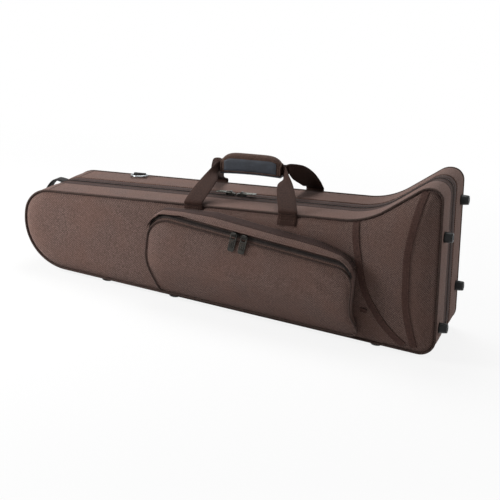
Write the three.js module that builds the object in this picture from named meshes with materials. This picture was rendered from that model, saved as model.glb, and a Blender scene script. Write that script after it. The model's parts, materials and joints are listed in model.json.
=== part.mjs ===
// Trombone case: a zipped two-half form case with a front pocket and a wrapped carry handle.
// Frame: millimetres, +Z up, +X towards the bell end, the front with the pocket faces -Y.
// The case stands on its bottom feet, at Z = 0, and the two halves part at Y = 0.
import * as THREE from 'three';

// One millimetre, the unit that every named length is given in
const MM = 1;
const DEGREE = Math.PI / 180;

// Driving dimensions of the case body
const bottomLength = 876 * MM;
const narrowHeight = 152 * MM;
const bellHeight = 319 * MM;
const topSlope = 6.5 * DEGREE;
const wallLean = 6.7 * DEGREE;
const troughFromBell = 172.5 * MM;
const crownFromBell = 72 * MM;
const narrowToOrigin = 440 * MM;
const pipingDepth = 110 * MM;
const faceBulge = 12 * MM;
const bellBulge = 9 * MM;
const bellBulgeFromBell = { start: 221 * MM, end: 101 * MM };
const wallThickness = 12 * MM;
const bottomFootHeight = 8 * MM;

// Corner radii of the outline
const lowerNarrowRadius = 101 * MM;
const upperNarrowRadius = 52 * MM;
const lowerBellRadius = 30 * MM;
const upperBellRadius = 24 * MM;
const crownRadius = 34 * MM;
const troughRadius = 146 * MM;
const leastRadius = 2 * MM;

// Clearances between neighbouring pieces
const seatGap = 0.3 * MM;
const softGap = 0.6 * MM;
const partingGap = 0.3 * MM;

// Piping, zip channel and zip
const pipingRadius = 2.6 * MM;
const pipingInset = 1 * MM;
const pipingProud = 1.6 * MM;
const seatInset = 5 * MM;
const seatRise = 1.8 * MM;
const seatDrop = 5 * MM;
const channelHalfWidth = 35 * MM;
const channelDepth = 3 * MM;
const tapeHalfWidth = 32.5 * MM;
const tapeThickness = 1.6 * MM;
const coilHalfWidth = 3 * MM;
const coilHeight = 1.8 * MM;

// Spine that the domed faces rise to
const spineFromEnds = { narrow: 95 * MM, bell: 101 * MM };
const spineHeightShares = { narrow: 0.5526, bell: 0.5016 };
const faceInsets = { border: 10 * MM, shoulder: 18 * MM };
const faceShares = { border: 0.5, shoulder: 0.8 };
const domeShares = [
  { toSpineShare: 0.22, bellShare: 0.45 },
  { toSpineShare: 0.55, bellShare: 0.9 },
  { toSpineShare: 0.85, bellShare: 1 },
];

// Colours, as the photograph shows them
const fabricBrown = { color: 0x70594f, roughness: 0.9, metalness: 0 };
const tapeBrown = { color: 0x4c3d38, roughness: 0.85, metalness: 0 };
const strapBrown = { color: 0x3d302a, roughness: 0.8, metalness: 0 };
const pipingDark = { color: 0x2b2422, roughness: 0.7, metalness: 0 };
const leatherBlack = { color: 0x33343a, roughness: 0.5, metalness: 0 };
const webbingBlack = { color: 0x201f1f, roughness: 0.8, metalness: 0 };
const rubberBlack = { color: 0x1b1d1d, roughness: 0.75, metalness: 0 };
const coilGrey = { color: 0x34372f, roughness: 0.6, metalness: 0 };
const gunmetal = { color: 0x4a4d4c, roughness: 0.35, metalness: 0.9 };
const chrome = { color: 0xb9bcbd, roughness: 0.2, metalness: 1 };
const plushBrown = { color: 0x5a3d2c, roughness: 1, metalness: 0 };

const caseGroup = new THREE.Group();
caseGroup.name = 'trombone_case';

// Point in the part's frame
function point(x, y, z) {
  return new THREE.Vector3(x, y, z);
}

// Volume inside a triangle mesh, negative when its faces point inwards
function signedVolume(positions, triangles) {
  const a = new THREE.Vector3();
  const b = new THREE.Vector3();
  const c = new THREE.Vector3();
  let volume = 0;
  for (let i = 0; i < triangles.length; i += 3) {
    a.copy(positions[triangles[i]]);
    b.copy(positions[triangles[i + 1]]);
    c.copy(positions[triangles[i + 2]]);
    volume += a.dot(b.cross(c)) / 6;
  }
  return volume;
}

// Triangles that close one ring of points, laid flat along its own normal
function capTriangles(ring) {
  const normal = new THREE.Vector3();
  ring.forEach((p, i) => {
    const q = ring[(i + 1) % ring.length];
    normal.x += (p.y - q.y) * (p.z + q.z);
    normal.y += (p.z - q.z) * (p.x + q.x);
    normal.z += (p.x - q.x) * (p.y + q.y);
  });
  normal.normalize();
  const steep = Math.abs(normal.x) > Math.abs(normal.y);
  const helper = steep ? point(0, 1, 0) : point(1, 0, 0);
  const across = new THREE.Vector3().crossVectors(normal, helper).normalize();
  const up = new THREE.Vector3().crossVectors(normal, across);
  const flat = ring.map((p) => new THREE.Vector2(p.dot(across), p.dot(up)));
  return THREE.ShapeUtils.triangulateShape(flat, []);
}

// Triangles that close a long ring by stepping along its upper and lower side together
function ladderTriangles(ring) {
  const order = ring.map((p, i) => i);
  const first = order.reduce((a, b) => (ring[b].x < ring[a].x ? b : a));
  const last = order.reduce((a, b) => (ring[b].x > ring[a].x ? b : a));
  const count = ring.length;
  const ahead = [];
  for (let i = first; i !== last; i = (i + 1) % count) {
    ahead.push(i);
  }
  ahead.push(last);
  const back = [];
  for (let i = first; i !== last; i = (i + count - 1) % count) {
    back.push(i);
  }
  back.push(last);
  const triangles = [];
  let i = 0;
  let j = 0;
  while (i < ahead.length - 1 || j < back.length - 1) {
    const nextAhead = i < ahead.length - 1 ? ring[ahead[i + 1]].x : Infinity;
    const nextBack = j < back.length - 1 ? ring[back[j + 1]].x : Infinity;
    if (nextAhead <= nextBack) {
      triangles.push([ahead[i], ahead[i + 1], back[j]]);
      i += 1;
    } else {
      triangles.push([ahead[i], back[j + 1], back[j]]);
      j += 1;
    }
  }
  return triangles.filter(([a, b, c]) => a !== b && b !== c && a !== c);
}

// Closed solid through a row of rings with equal counts, capped at both ends or joined in a loop
function loft(rings, joined = false, capWith = capTriangles) {
  const count = rings[0].length;
  const positions = rings.flat();
  const triangles = [];
  const rows = joined ? rings.length : rings.length - 1;
  for (let row = 0; row < rows; row += 1) {
    const next = (row + 1) % rings.length;
    for (let i = 0; i < count; i += 1) {
      const j = (i + 1) % count;
      const a = row * count + i;
      const b = row * count + j;
      const c = next * count + j;
      const d = next * count + i;
      const oneDiagonal = positions[a].distanceTo(positions[c]);
      const otherDiagonal = positions[b].distanceTo(positions[d]);
      if (oneDiagonal <= otherDiagonal) {
        triangles.push(a, b, c, a, c, d);
      } else {
        triangles.push(a, b, d, b, c, d);
      }
    }
  }
  if (!joined) {
    const last = (rings.length - 1) * count;
    closeRing(capWith(rings[0]), 0, triangles);
    closeRing(capWith(rings[rings.length - 1]), last, triangles);
  }
  if (signedVolume(positions, triangles) < 0) {
    for (let i = 0; i < triangles.length; i += 3) {
      [triangles[i], triangles[i + 1]] = [triangles[i + 1], triangles[i]];
    }
  }
  const geometry = new THREE.BufferGeometry().setFromPoints(positions);
  geometry.setIndex(triangles);
  geometry.computeVertexNormals();
  return geometry;
}

// Adds the cap of one end ring, turned to agree with the side faces next to it
function closeRing(cap, start, triangles) {
  const sideEdges = new Set();
  for (let i = 0; i < triangles.length; i += 3) {
    for (let k = 0; k < 3; k += 1) {
      sideEdges.add(`${triangles[i + k]}>${triangles[i + ((k + 1) % 3)]}`);
    }
  }
  const follows = cap.some((tri) => tri.some((v, k) => {
    const w = tri[(k + 1) % 3];
    return sideEdges.has(`${start + v}>${start + w}`);
  }));
  cap.forEach(([a, b, c]) => {
    if (follows) {
      triangles.push(start + b, start + a, start + c);
    } else {
      triangles.push(start + a, start + b, start + c);
    }
  });
}

// Names a mesh, gives it its material and hangs it in the case
function addPiece(name, geometry, finish) {
  const mesh = new THREE.Mesh(geometry, new THREE.MeshStandardMaterial(finish));
  mesh.name = name;
  caseGroup.add(mesh);
  return mesh;
}

// Outline of the case

const bottomZ = bottomFootHeight;
const narrowX = -narrowToOrigin;
const bellX = narrowX + bottomLength;
const topSlopeRise = Math.tan(topSlope);
const bellCornerX = bellX - bellHeight * Math.tan(wallLean);
const troughX = bellX - troughFromBell;
const troughZ = bottomZ + narrowHeight + (troughX - narrowX) * topSlopeRise;
const outlineCorners = [
  { x: narrowX, z: bottomZ, radius: lowerNarrowRadius, arc: 9, edge: 14 },
  { x: bellX, z: bottomZ, radius: lowerBellRadius, arc: 5, edge: 5 },
  { x: bellCornerX, z: bottomZ + bellHeight, radius: upperBellRadius, arc: 5, edge: 1 },
  { x: bellX - crownFromBell, z: bottomZ + bellHeight, radius: crownRadius, arc: 4, edge: 1 },
  { x: troughX, z: troughZ, radius: troughRadius, arc: 5, edge: 12 },
  { x: narrowX, z: bottomZ + narrowHeight, radius: upperNarrowRadius, arc: 7, edge: 1 },
];

// Rounded ring through corners in X and Z, moved inwards by an inset, always with the same
// count of points: each corner names the steps of its arc and of the edge that follows it
function roundedRing(corners, inset) {
  const count = corners.length;
  const edges = corners.map((corner, i) => {
    const next = corners[(i + 1) % count];
    const along = new THREE.Vector2(next.x - corner.x, next.z - corner.z).normalize();
    const inward = new THREE.Vector2(-along.y, along.x);
    const start = new THREE.Vector2(corner.x, corner.z).addScaledVector(inward, inset);
    return { along, inward, start };
  });
  const arcs = corners.map((corner, i) => {
    const before = edges[(i + count - 1) % count];
    const after = edges[i];
    const turn = before.along.cross(after.along);
    const travel = after.start.clone().sub(before.start).cross(after.along) / turn;
    const vertex = before.start.clone().addScaledVector(before.along, travel);
    const hollow = turn < 0;
    const radius = hollow ? corner.radius + inset : Math.max(corner.radius - inset, leastRadius);
    const bend = Math.atan2(Math.abs(turn), before.along.dot(after.along));
    const side = hollow ? -1 : 1;
    const entry = vertex.clone().addScaledVector(before.along, -radius * Math.tan(bend / 2));
    const centre = entry.clone().addScaledVector(before.inward, side * radius);
    const points = [];
    for (let k = 0; k <= corner.arc; k += 1) {
      const angle = (side * bend * k) / corner.arc;
      points.push(entry.clone().rotateAround(centre, angle));
    }
    return points;
  });
  const ring = [];
  arcs.forEach((points, i) => {
    ring.push(...points);
    const from = points[points.length - 1];
    const to = arcs[(i + 1) % count][0];
    for (let k = 1; k < corners[i].edge; k += 1) {
      ring.push(from.clone().lerp(to, k / corners[i].edge));
    }
  });
  return ring;
}
function outlineRing(inset) {
  return roundedRing(outlineCorners, inset);
}

// Height of the outline's upper side above a place
function outlineTop(x) {
  const ring = outlineRing(0);
  const heights = ring.map((p, i) => {
    const q = ring[(i + 1) % ring.length];
    const share = (x - p.x) / (q.x - p.x);
    return share >= 0 && share < 1 ? THREE.MathUtils.lerp(p.y, q.y, share) : bottomZ;
  });
  return Math.max(...heights);
}

// Where the ring's stretches start, counted in points
function ringStart(cornerIndex) {
  let start = 0;
  for (let i = 0; i < cornerIndex; i += 1) {
    start += outlineCorners[i].arc + outlineCorners[i].edge;
  }
  return start;
}

// Ring drawn from the shoulder of the face towards the spine
const spineNarrowX = narrowX + spineFromEnds.narrow;
const spineBellX = bellX - spineFromEnds.bell;
const spineNarrowZ = bottomZ + spineHeightShares.narrow * narrowHeight;
const spineBellZ = bottomZ + spineHeightShares.bell * bellHeight;
function spineRing(share) {
  return outlineRing(faceInsets.shoulder).map((p) => {
    const x = THREE.MathUtils.clamp(p.x, spineNarrowX, spineBellX);
    const along = (x - spineNarrowX) / (spineBellX - spineNarrowX);
    const target = new THREE.Vector2(x, THREE.MathUtils.lerp(spineNarrowZ, spineBellZ, along));
    return p.clone().lerp(target, share);
  });
}

// Extra crown of the faces over the bell
function bellRise(x) {
  const { start, end } = bellBulgeFromBell;
  return bellBulge * THREE.MathUtils.smoothstep(x, bellX - start, bellX - end);
}

// Outline points set at a depth on one side of the parting plane
function atDepth(ring, side, depth) {
  return ring.map((p) => {
    const y = typeof depth === 'function' ? depth(p.x) : depth;
    return point(p.x, side * y, p.y);
  });
}

// One half of the case as a tray of even wall with a domed face
function shellRings(side) {
  const domes = [...domeShares].reverse().map((dome) => {
    const depth = (x) => pipingDepth + faceBulge + dome.bellShare * bellRise(x);
    return atDepth(spineRing(dome.toSpineShare), side, depth);
  });
  const shoulderDepth = pipingDepth + faceShares.shoulder * faceBulge;
  const borderDepth = pipingDepth + faceShares.border * faceBulge;
  const outside = [
    ...domes,
    atDepth(outlineRing(faceInsets.shoulder), side, shoulderDepth),
    atDepth(outlineRing(faceInsets.border), side, borderDepth),
    atDepth(outlineRing(seatInset), side, pipingDepth + seatRise),
    atDepth(outlineRing(0), side, pipingDepth - seatDrop),
    atDepth(outlineRing(0), side, channelHalfWidth),
    atDepth(outlineRing(channelDepth), side, channelHalfWidth),
    atDepth(outlineRing(channelDepth), side, partingGap),
  ];
  const insideDomes = domeShares.map((dome) => {
    const depth = (x) => pipingDepth + faceBulge + dome.bellShare * bellRise(x) - wallThickness;
    return atDepth(spineRing(dome.toSpineShare), side, depth);
  });
  const inside = [
    atDepth(outlineRing(wallThickness), side, partingGap),
    atDepth(outlineRing(wallThickness), side, borderDepth - wallThickness),
    atDepth(outlineRing(faceInsets.shoulder), side, shoulderDepth - seatRise - wallThickness / 2),
    ...insideDomes,
  ];
  return [...outside, ...inside];
}

const rearShell = addPiece('rear_shell', loft(shellRings(1), false, ladderTriangles), fabricBrown);
const frontShell = addPiece('front_shell', loft(shellRings(-1), false, ladderTriangles), fabricBrown);

// Cord piping that fills the corner between each face and the side wall
const pipingSideShares = [0, 1, 2, 3, 4, 5].map((k) => k / 6);
function pipingGeometry(side) {
  const middle = outlineRing(pipingInset);
  const outer = outlineRing(pipingInset - pipingRadius);
  const sections = middle.map((p, i) => {
    const out = outer[i].clone().sub(p);
    return pipingSideShares.map((share) => {
      const turn = share * 2 * Math.PI;
      const x = p.x + out.x * Math.cos(turn);
      const z = p.y + out.y * Math.cos(turn);
      const y = side * (pipingDepth + pipingProud) + pipingRadius * Math.sin(turn);
      return point(x, y, z);
    });
  });
  return loft(sections, true);
}
addPiece('rear_piping', pipingGeometry(1), pipingDark);
addPiece('front_piping', pipingGeometry(-1), pipingDark);

// Zip round the top and both ends, from the bell end's lower corner to the narrow end

const zipFirst = ringStart(1) + outlineCorners[1].arc;
const zipLast = ringStart(5) + outlineCorners[5].arc + outlineCorners[5].edge;

// Strip that follows the side wall between two insets and two depths
function wallStrip(innerInset, outerInset, fromY, toY) {
  const inner = outlineRing(innerInset);
  const outer = outlineRing(outerInset);
  const sections = [];
  for (let i = zipFirst; i <= zipLast; i += 1) {
    const p = inner[i % inner.length];
    const q = outer[i % outer.length];
    sections.push([
      point(p.x, fromY, p.y),
      point(p.x, toY, p.y),
      point(q.x, toY, q.y),
      point(q.x, fromY, q.y),
    ]);
  }
  return loft(sections);
}
const tapeInner = channelDepth - seatGap;
const tapeOuter = tapeInner - tapeThickness;
const coilInner = tapeOuter - seatGap;
const coilOuter = coilInner - coilHeight;
addPiece('rear_zip_tape', wallStrip(tapeInner, tapeOuter, partingGap, tapeHalfWidth), tapeBrown);
addPiece('front_zip_tape', wallStrip(tapeInner, tapeOuter, -tapeHalfWidth, -partingGap), tapeBrown);
addPiece('main_zip_coil', wallStrip(coilInner, coilOuter, -coilHalfWidth, coilHalfWidth), coilGrey);

// Fabric hinge in the channel under the case, one leaf on each half
const hingeThickness = 1.4 * MM;
const hingeWidth = 24 * MM;
const hingeFromX = narrowX + lowerNarrowRadius + seatInset;
const hingeToX = bellX - lowerBellRadius - seatInset;
const hingeTopZ = bottomZ + channelDepth - seatGap;
function hingeLeaf(name, side) {
  const geometry = new THREE.BoxGeometry(hingeToX - hingeFromX, hingeWidth, hingeThickness);
  const leaf = addPiece(name, geometry, tapeBrown);
  const y = side * (partingGap + hingeWidth / 2);
  leaf.position.set((hingeFromX + hingeToX) / 2, y, hingeTopZ - hingeThickness / 2);
}
hingeLeaf('hinge_leaf_rear', 1);
hingeLeaf('hinge_leaf_front', -1);

// Frame of the sloping top edge: u along it, v away from it
const topCos = Math.cos(topSlope);
const topSin = Math.sin(topSlope);
const topOriginZ = bottomZ + narrowHeight + narrowToOrigin * topSlopeRise;
function onTop(u, y, v) {
  return point(u * topCos - v * topSin, y, topOriginZ + u * topSin + v * topCos);
}

// Solid from a flat profile with holes, pushed along its normal and set in a frame
function pushed(outline, holes, length, origin, acrossAxis, upAxis) {
  const shape = new THREE.Shape(outline);
  holes.forEach((hole) => shape.holes.push(new THREE.Path(hole)));
  const geometry = new THREE.ExtrudeGeometry(shape, { depth: length, bevelEnabled: false });
  const pushAxis = new THREE.Vector3().crossVectors(acrossAxis, upAxis);
  const place = new THREE.Matrix4().makeBasis(acrossAxis, upAxis, pushAxis);
  place.setPosition(origin);
  geometry.applyMatrix4(place);
  return geometry;
}

// Points round part of a circle, for outlines and holes
function arcPoints(centreX, centreY, radius, fromAngle, toAngle, steps) {
  const points = [];
  for (let k = 0; k <= steps; k += 1) {
    const angle = THREE.MathUtils.lerp(fromAngle, toAngle, k / steps);
    const x = centreX + radius * Math.cos(angle);
    const y = centreY + radius * Math.sin(angle);
    points.push(new THREE.Vector2(x, y));
  }
  return points;
}
function circlePoints(centreX, centreY, radius, sides) {
  return arcPoints(centreX, centreY, radius, 0, 2 * Math.PI, sides).slice(0, sides);
}

// Zip slider with a bridge that the pull's bar passes through, and the pull itself
const slider = {
  length: 20 * MM,
  baseHeight: 3 * MM,
  bridgeRadius: 3.2 * MM,
  bridgeHole: 1.5 * MM,
  width: 8 * MM,
};
const pull = {
  mainLength: 30 * MM,
  pocketLength: 34 * MM,
  width: 13 * MM,
  thickness: 1.8 * MM,
  bar: 1.8 * MM,
  window: 9 * MM,
  sideClearance: 0.6 * MM,
};
const holeSides = 8;

// Slider profile in its own plane: the travel direction across, away from the zip up
function sliderProfile(length) {
  const half = length / 2;
  const lobeZ = slider.baseHeight + slider.bridgeRadius;
  return [
    new THREE.Vector2(-half, 0),
    new THREE.Vector2(half, 0),
    new THREE.Vector2(half, slider.baseHeight),
    ...arcPoints(0, lobeZ - slider.bridgeRadius / 2, slider.bridgeRadius, 0, Math.PI, 6),
    new THREE.Vector2(-half, slider.baseHeight),
  ];
}
const bridgeHeight = slider.baseHeight + slider.bridgeRadius / 2;

// Slider body set on a zip: along is its travel, out is away from the zip
function sliderGeometry(seat, along, out, length) {
  const acrossWay = new THREE.Vector3().crossVectors(along, out);
  const origin = seat.clone().addScaledVector(acrossWay, -slider.width / 2);
  const hole = circlePoints(0, bridgeHeight, slider.bridgeHole, holeSides);
  return pushed(sliderProfile(length), [hole], slider.width, origin, along, out);
}

// Flat pull whose end bar lies in the slider's bridge and whose tab reaches along tabWay
function pullGeometry(seat, out, barWay, tabWay, length) {
  const pivot = seat.clone().addScaledVector(out, bridgeHeight);
  const normal = new THREE.Vector3().crossVectors(barWay, tabWay);
  const origin = pivot.clone().addScaledVector(normal, -pull.thickness / 2);
  const half = pull.width / 2;
  const windowHalf = slider.width / 2 + pull.sideClearance;
  const start = -pull.bar / 2;
  const outline = [
    new THREE.Vector2(-half, start),
    new THREE.Vector2(half, start),
    new THREE.Vector2(half, length - half / 2),
    new THREE.Vector2(half / 2, length),
    new THREE.Vector2(-half / 2, length),
    new THREE.Vector2(-half, length - half / 2),
  ];
  const windowHole = [
    new THREE.Vector2(-windowHalf, start + pull.bar),
    new THREE.Vector2(windowHalf, start + pull.bar),
    new THREE.Vector2(windowHalf, start + pull.bar + pull.window),
    new THREE.Vector2(-windowHalf, start + pull.bar + pull.window),
  ];
  return pushed(outline, [windowHole], pull.thickness, origin, barWay, tabWay);
}

// Main sliders meet under the handle and their pulls lie along the zip
const mainSliderLeftU = -42 * MM;
const mainSliderRightU = -18 * MM;
const topAlong = point(topCos, 0, topSin);
const topOut = point(-topSin, 0, topCos);
const acrossY = point(0, 1, 0);
const mainSeatV = -coilOuter + seatGap;
function mainSlider(label, u, way) {
  const seat = onTop(u, 0, mainSeatV);
  addPiece(`main_slider_${label}`, sliderGeometry(seat, topAlong, topOut, slider.length), gunmetal);
  const tabWay = topAlong.clone().multiplyScalar(way);
  const pullTab = pullGeometry(seat, topOut, acrossY, tabWay, pull.mainLength);
  addPiece(`main_pull_${label}`, pullTab, chrome);
}
mainSlider('left', mainSliderLeftU, -1);
mainSlider('right', mainSliderRightU, 1);

// Depth of a face below a point of the front, found on the shell that carries it
frontShell.updateMatrixWorld(true);
rearShell.updateMatrixWorld(true);
const faceFinder = new THREE.Raycaster();
const farAway = 4 * pipingDepth;
function faceDepth(shell, side, x, z) {
  faceFinder.set(point(x, side * farAway, z), point(0, -side, 0));
  const hits = faceFinder.intersectObject(shell);
  return hits.length > 0 ? side * hits[0].point.y : pipingDepth;
}

// Front pocket: a bag sewn to the face, deep at its zip and flat along the lower edge
const pocket = {
  leftFromNarrow: 291 * MM,
  rightFromBell: 173 * MM,
  footLeftInset: 27 * MM,
  footRightReach: 28 * MM,
  footAboveBottom: 9 * MM,
  leftAboveNarrow: 10 * MM,
  rightBelowNarrow: 9 * MM,
  waistShare: 0.3816,
  kneeShare: 0.5,
  fullDepthShare: 0.579,
  depth: 33 * MM,
  crown: 9 * MM,
  upperSlope: 14 * MM,
  cornerRadius: 36 * MM,
  footRadius: 14 * MM,
  sideRadius: 70 * MM,
  kneeRadius: 150 * MM,
};
const pocketLeftX = narrowX + pocket.leftFromNarrow;
const pocketRightX = bellX - pocket.rightFromBell;
const pocketFootLeftX = pocketLeftX + pocket.footLeftInset;
const pocketFootRightX = pocketRightX + pocket.footRightReach;
const pocketFootZ = bottomZ + pocket.footAboveBottom;
const pocketTopLeftZ = bottomZ + narrowHeight + pocket.leftAboveNarrow;
const pocketTopRightZ = bottomZ + narrowHeight - pocket.rightBelowNarrow;
const pocketWaistZ = bottomZ + pocket.waistShare * narrowHeight;
const pocketKneeZ = bottomZ + pocket.kneeShare * narrowHeight;
const pocketFullDepthZ = bottomZ + pocket.fullDepthShare * narrowHeight;
const pocketWaistX = pocketRightX + pocket.crown / 2;

// Rounded pocket outline, raised at the top by its zip slope
function pocketRing(inset, raise) {
  const { footRadius, sideRadius, cornerRadius, kneeRadius } = pocket;
  return roundedRing([
    { x: pocketFootLeftX, z: pocketFootZ, radius: footRadius, arc: 3, edge: 8 },
    { x: pocketFootRightX, z: pocketFootZ, radius: footRadius, arc: 3, edge: 7 },
    { x: pocketWaistX, z: pocketWaistZ, radius: sideRadius, arc: 3, edge: 2 },
    { x: pocketRightX, z: pocketTopRightZ + raise, radius: cornerRadius, arc: 5, edge: 8 },
    { x: pocketLeftX, z: pocketTopLeftZ + raise, radius: cornerRadius, arc: 5, edge: 2 },
    { x: pocketLeftX, z: pocketKneeZ, radius: kneeRadius, arc: 4, edge: 8 },
  ], inset);
}

// How far the bag stands off the face, nothing at its foot and full at its zip
const pocketFootShare = 0.08;
const pocketSeatGap = 0.8 * MM;
function pocketRise(z) {
  const share = THREE.MathUtils.smoothstep(z, pocketFootZ - pocket.footRadius, pocketFullDepthZ);
  return THREE.MathUtils.lerp(pocketFootShare, 1, share);
}
function pocketPoints(ring, baseShare, crown) {
  return ring.map((p) => {
    const face = faceDepth(frontShell, -1, p.x, p.y) + pocketSeatGap;
    const lift = baseShare * pocket.depth * pocketRise(p.y);
    return point(p.x, -(face + lift + crown * pocketRise(p.y)), p.y);
  });
}
const pocketZipShare = 0.85;
const pocketHem = 9 * MM;
const pocketBackInset = 26 * MM;
const pocketPanelShares = { shoulder: 0.35, heart: 0.75, shoulderCrown: 0.9 };

// Pocket ring drawn towards the middle of the panel
function pocketMiddle(ring, share) {
  const centreX = (pocketLeftX + pocketRightX) / 2;
  const centreZ = (pocketTopLeftZ + pocketFootZ) / 2;
  return ring.map((p) => {
    const x = THREE.MathUtils.lerp(p.x, centreX, share / 2);
    return new THREE.Vector2(x, THREE.MathUtils.lerp(p.y, centreZ, share));
  });
}
const pocketBase = pocketRing(0, pocket.upperSlope);
const pocketPanel = pocketRing(0, 0);
const pocketShoulder = pocketMiddle(pocketPanel, pocketPanelShares.shoulder);
const pocketHeart = pocketMiddle(pocketPanel, pocketPanelShares.heart);
const pocketBackDepth = pipingDepth + faceBulge + bellRise(pocketRightX) + pocketSeatGap;
const pocketHemRing = pocketPoints(pocketRing(pocketHem, pocket.upperSlope), 0, 0);
pocketHemRing.forEach((p) => p.setY(p.y - seatGap));
addPiece('pocket_body', loft([
  pocketPoints(pocketHeart, 1, pocket.crown),
  pocketPoints(pocketShoulder, 1, pocketPanelShares.shoulderCrown * pocket.crown),
  pocketPoints(pocketPanel, 1, 0),
  pocketPoints(pocketBase, pocketZipShare, 0),
  pocketPoints(pocketBase, 0, 0),
  pocketHemRing,
  atDepth(pocketRing(pocketBackInset, pocket.upperSlope), -1, pocketBackDepth),
]), fabricBrown);

// Panel piping round the bag
const pocketPipingRadius = 1.7 * MM;
const pocketPipingOffset = 1.5 * MM;
function pocketPipingGeometry() {
  const way = pocketRing(-pocketPipingOffset, 0);
  const outer = pocketRing(-pocketPipingOffset - pocketPipingRadius, 0);
  const middle = pocketPoints(pocketPanel, 1, 0);
  const sections = way.map((p, i) => {
    const out = outer[i].clone().sub(p);
    return pipingSideShares.map((share) => {
      const turn = share * 2 * Math.PI;
      const y = middle[i].y - pocketPipingOffset + pocketPipingRadius * Math.sin(turn);
      return point(p.x + out.x * Math.cos(turn), y, p.y + out.y * Math.cos(turn));
    });
  });
  return loft(sections, true);
}
addPiece('pocket_piping', pocketPipingGeometry(), pipingDark);

// Zip tape of the pocket, on the slope between the panel and the top of the bag
const pocketZipFirst = 27;
const pocketZipLast = 44;
const pocketTapeShares = { lower: 0.3, upper: 0.9, seat: 0.72 };
const pocketEdge = pocketPoints(pocketPanel, 1, 0);
const pocketShelf = pocketPoints(pocketBase, pocketZipShare, 0);

// Direction out of the zip slope at one place along it
function zipSlopeNormal(i) {
  const along = pocketEdge[i + 1].clone().sub(pocketEdge[i - 1]);
  const rise = pocketShelf[i].clone().sub(pocketEdge[i]);
  const normal = new THREE.Vector3().crossVectors(along, rise).normalize();
  return normal.y > 0 ? normal.negate() : normal;
}
function pocketTapeGeometry() {
  const sections = [];
  for (let i = pocketZipFirst; i <= pocketZipLast; i += 1) {
    const out = zipSlopeNormal(i);
    const lower = pocketEdge[i].clone().lerp(pocketShelf[i], pocketTapeShares.lower);
    const upper = pocketEdge[i].clone().lerp(pocketShelf[i], pocketTapeShares.upper);
    sections.push([
      lower.clone().addScaledVector(out, softGap),
      upper.clone().addScaledVector(out, softGap),
      upper.clone().addScaledVector(out, softGap + tapeThickness),
      lower.clone().addScaledVector(out, softGap + tapeThickness),
    ]);
  }
  return loft(sections);
}
addPiece('pocket_zip_tape', pocketTapeGeometry(), coilGrey);

// Top edge of the case above a place on the face
function topEdgeZ(x) {
  return topOriginZ + x * topSlopeRise;
}

// Hood that covers the pocket's zip, sewn to the face along its upper edge
const hoodThickness = 2.6 * MM;
const hoodLip = 4 * MM;
const hoodMostReach = 20 * MM;
const hoodLeastReach = 6 * MM;
const hoodTaper = 90 * MM;
const hoodBelowEdge = 9 * MM;
const hoodFirst = 29;
const hoodLast = 43;
const hoodFrontShare = 1.02;
function hoodReach(x) {
  const fromLeft = THREE.MathUtils.smoothstep(x, pocketLeftX, pocketLeftX + hoodTaper);
  const fromRight = 1 - THREE.MathUtils.smoothstep(x, pocketRightX - hoodTaper, pocketRightX);
  return THREE.MathUtils.lerp(hoodLeastReach, hoodMostReach, Math.min(fromLeft, fromRight));
}
function hoodGeometry() {
  const near = pocketRing(0, pocket.upperSlope);
  const far = pocketRing(-hoodMostReach, pocket.upperSlope);
  const sections = [];
  for (let i = hoodFirst; i <= hoodLast; i += 1) {
    const out = far[i].clone().sub(near[i]).divideScalar(hoodMostReach);
    const seam = near[i].clone().addScaledVector(out, hoodReach(near[i].x));
    seam.y = Math.min(seam.y, topEdgeZ(seam.x) - hoodBelowEdge);
    const lip = near[i].clone().addScaledVector(out, hoodLip);
    lip.y = Math.min(lip.y, seam.y - hoodLip);
    const [sewn] = pocketPoints([seam], 0, 0);
    const [front] = pocketPoints([lip], hoodFrontShare, 0);
    sections.push([
      sewn,
      front,
      front.clone().setY(front.y - hoodThickness),
      sewn.clone().setY(sewn.y - hoodThickness),
    ]);
  }
  return loft(sections);
}
addPiece('pocket_hood', hoodGeometry(), fabricBrown);

// Pocket sliders side by side on the top run of the zip, their pulls hanging over the panel
const pocketSliderLeftX = 26 * MM;
const pocketSliderRightX = 47 * MM;
const pocketSliderLength = 11 * MM;
const pullLeanShare = 0.2;
function pocketSlider(label, x) {
  const after = pocketEdge.findIndex((p, i) => i > hoodFirst && p.x < x);
  const before = after - 1;
  const share = (x - pocketEdge[before].x) / (pocketEdge[after].x - pocketEdge[before].x);
  const lower = pocketEdge[before].clone().lerp(pocketEdge[after], share);
  const upper = pocketShelf[before].clone().lerp(pocketShelf[after], share);
  const out = zipSlopeNormal(after);
  const along = pocketEdge[before].clone().sub(pocketEdge[after]).normalize();
  const trueOut = out.addScaledVector(along, -out.dot(along)).normalize();
  const seat = lower.lerp(upper, pocketTapeShares.seat);
  seat.addScaledVector(trueOut, softGap + tapeThickness + seatGap);
  const downSlope = new THREE.Vector3().crossVectors(along, trueOut);
  const sliderBody = sliderGeometry(seat, downSlope, trueOut, pocketSliderLength);
  addPiece(`pocket_slider_${label}`, sliderBody, gunmetal);
  const down = point(0, -pullLeanShare, -1);
  const tabWay = down.addScaledVector(along, -down.dot(along)).normalize();
  const pullTab = pullGeometry(seat, trueOut, along, tabWay, pull.pocketLength);
  addPiece(`pocket_pull_${label}`, pullTab, gunmetal);
}
pocketSlider('left', pocketSliderLeftX);
pocketSlider('right', pocketSliderRightX);

// Strap from stations of a middle point, a half width and a half thickness
function strapGeometry(stations) {
  return loft(stations.map(({ at, half, thick }) => [
    at.clone().sub(half).sub(thick),
    at.clone().add(half).sub(thick),
    at.clone().add(half).add(thick),
    at.clone().sub(half).add(thick),
  ]));
}

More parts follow.
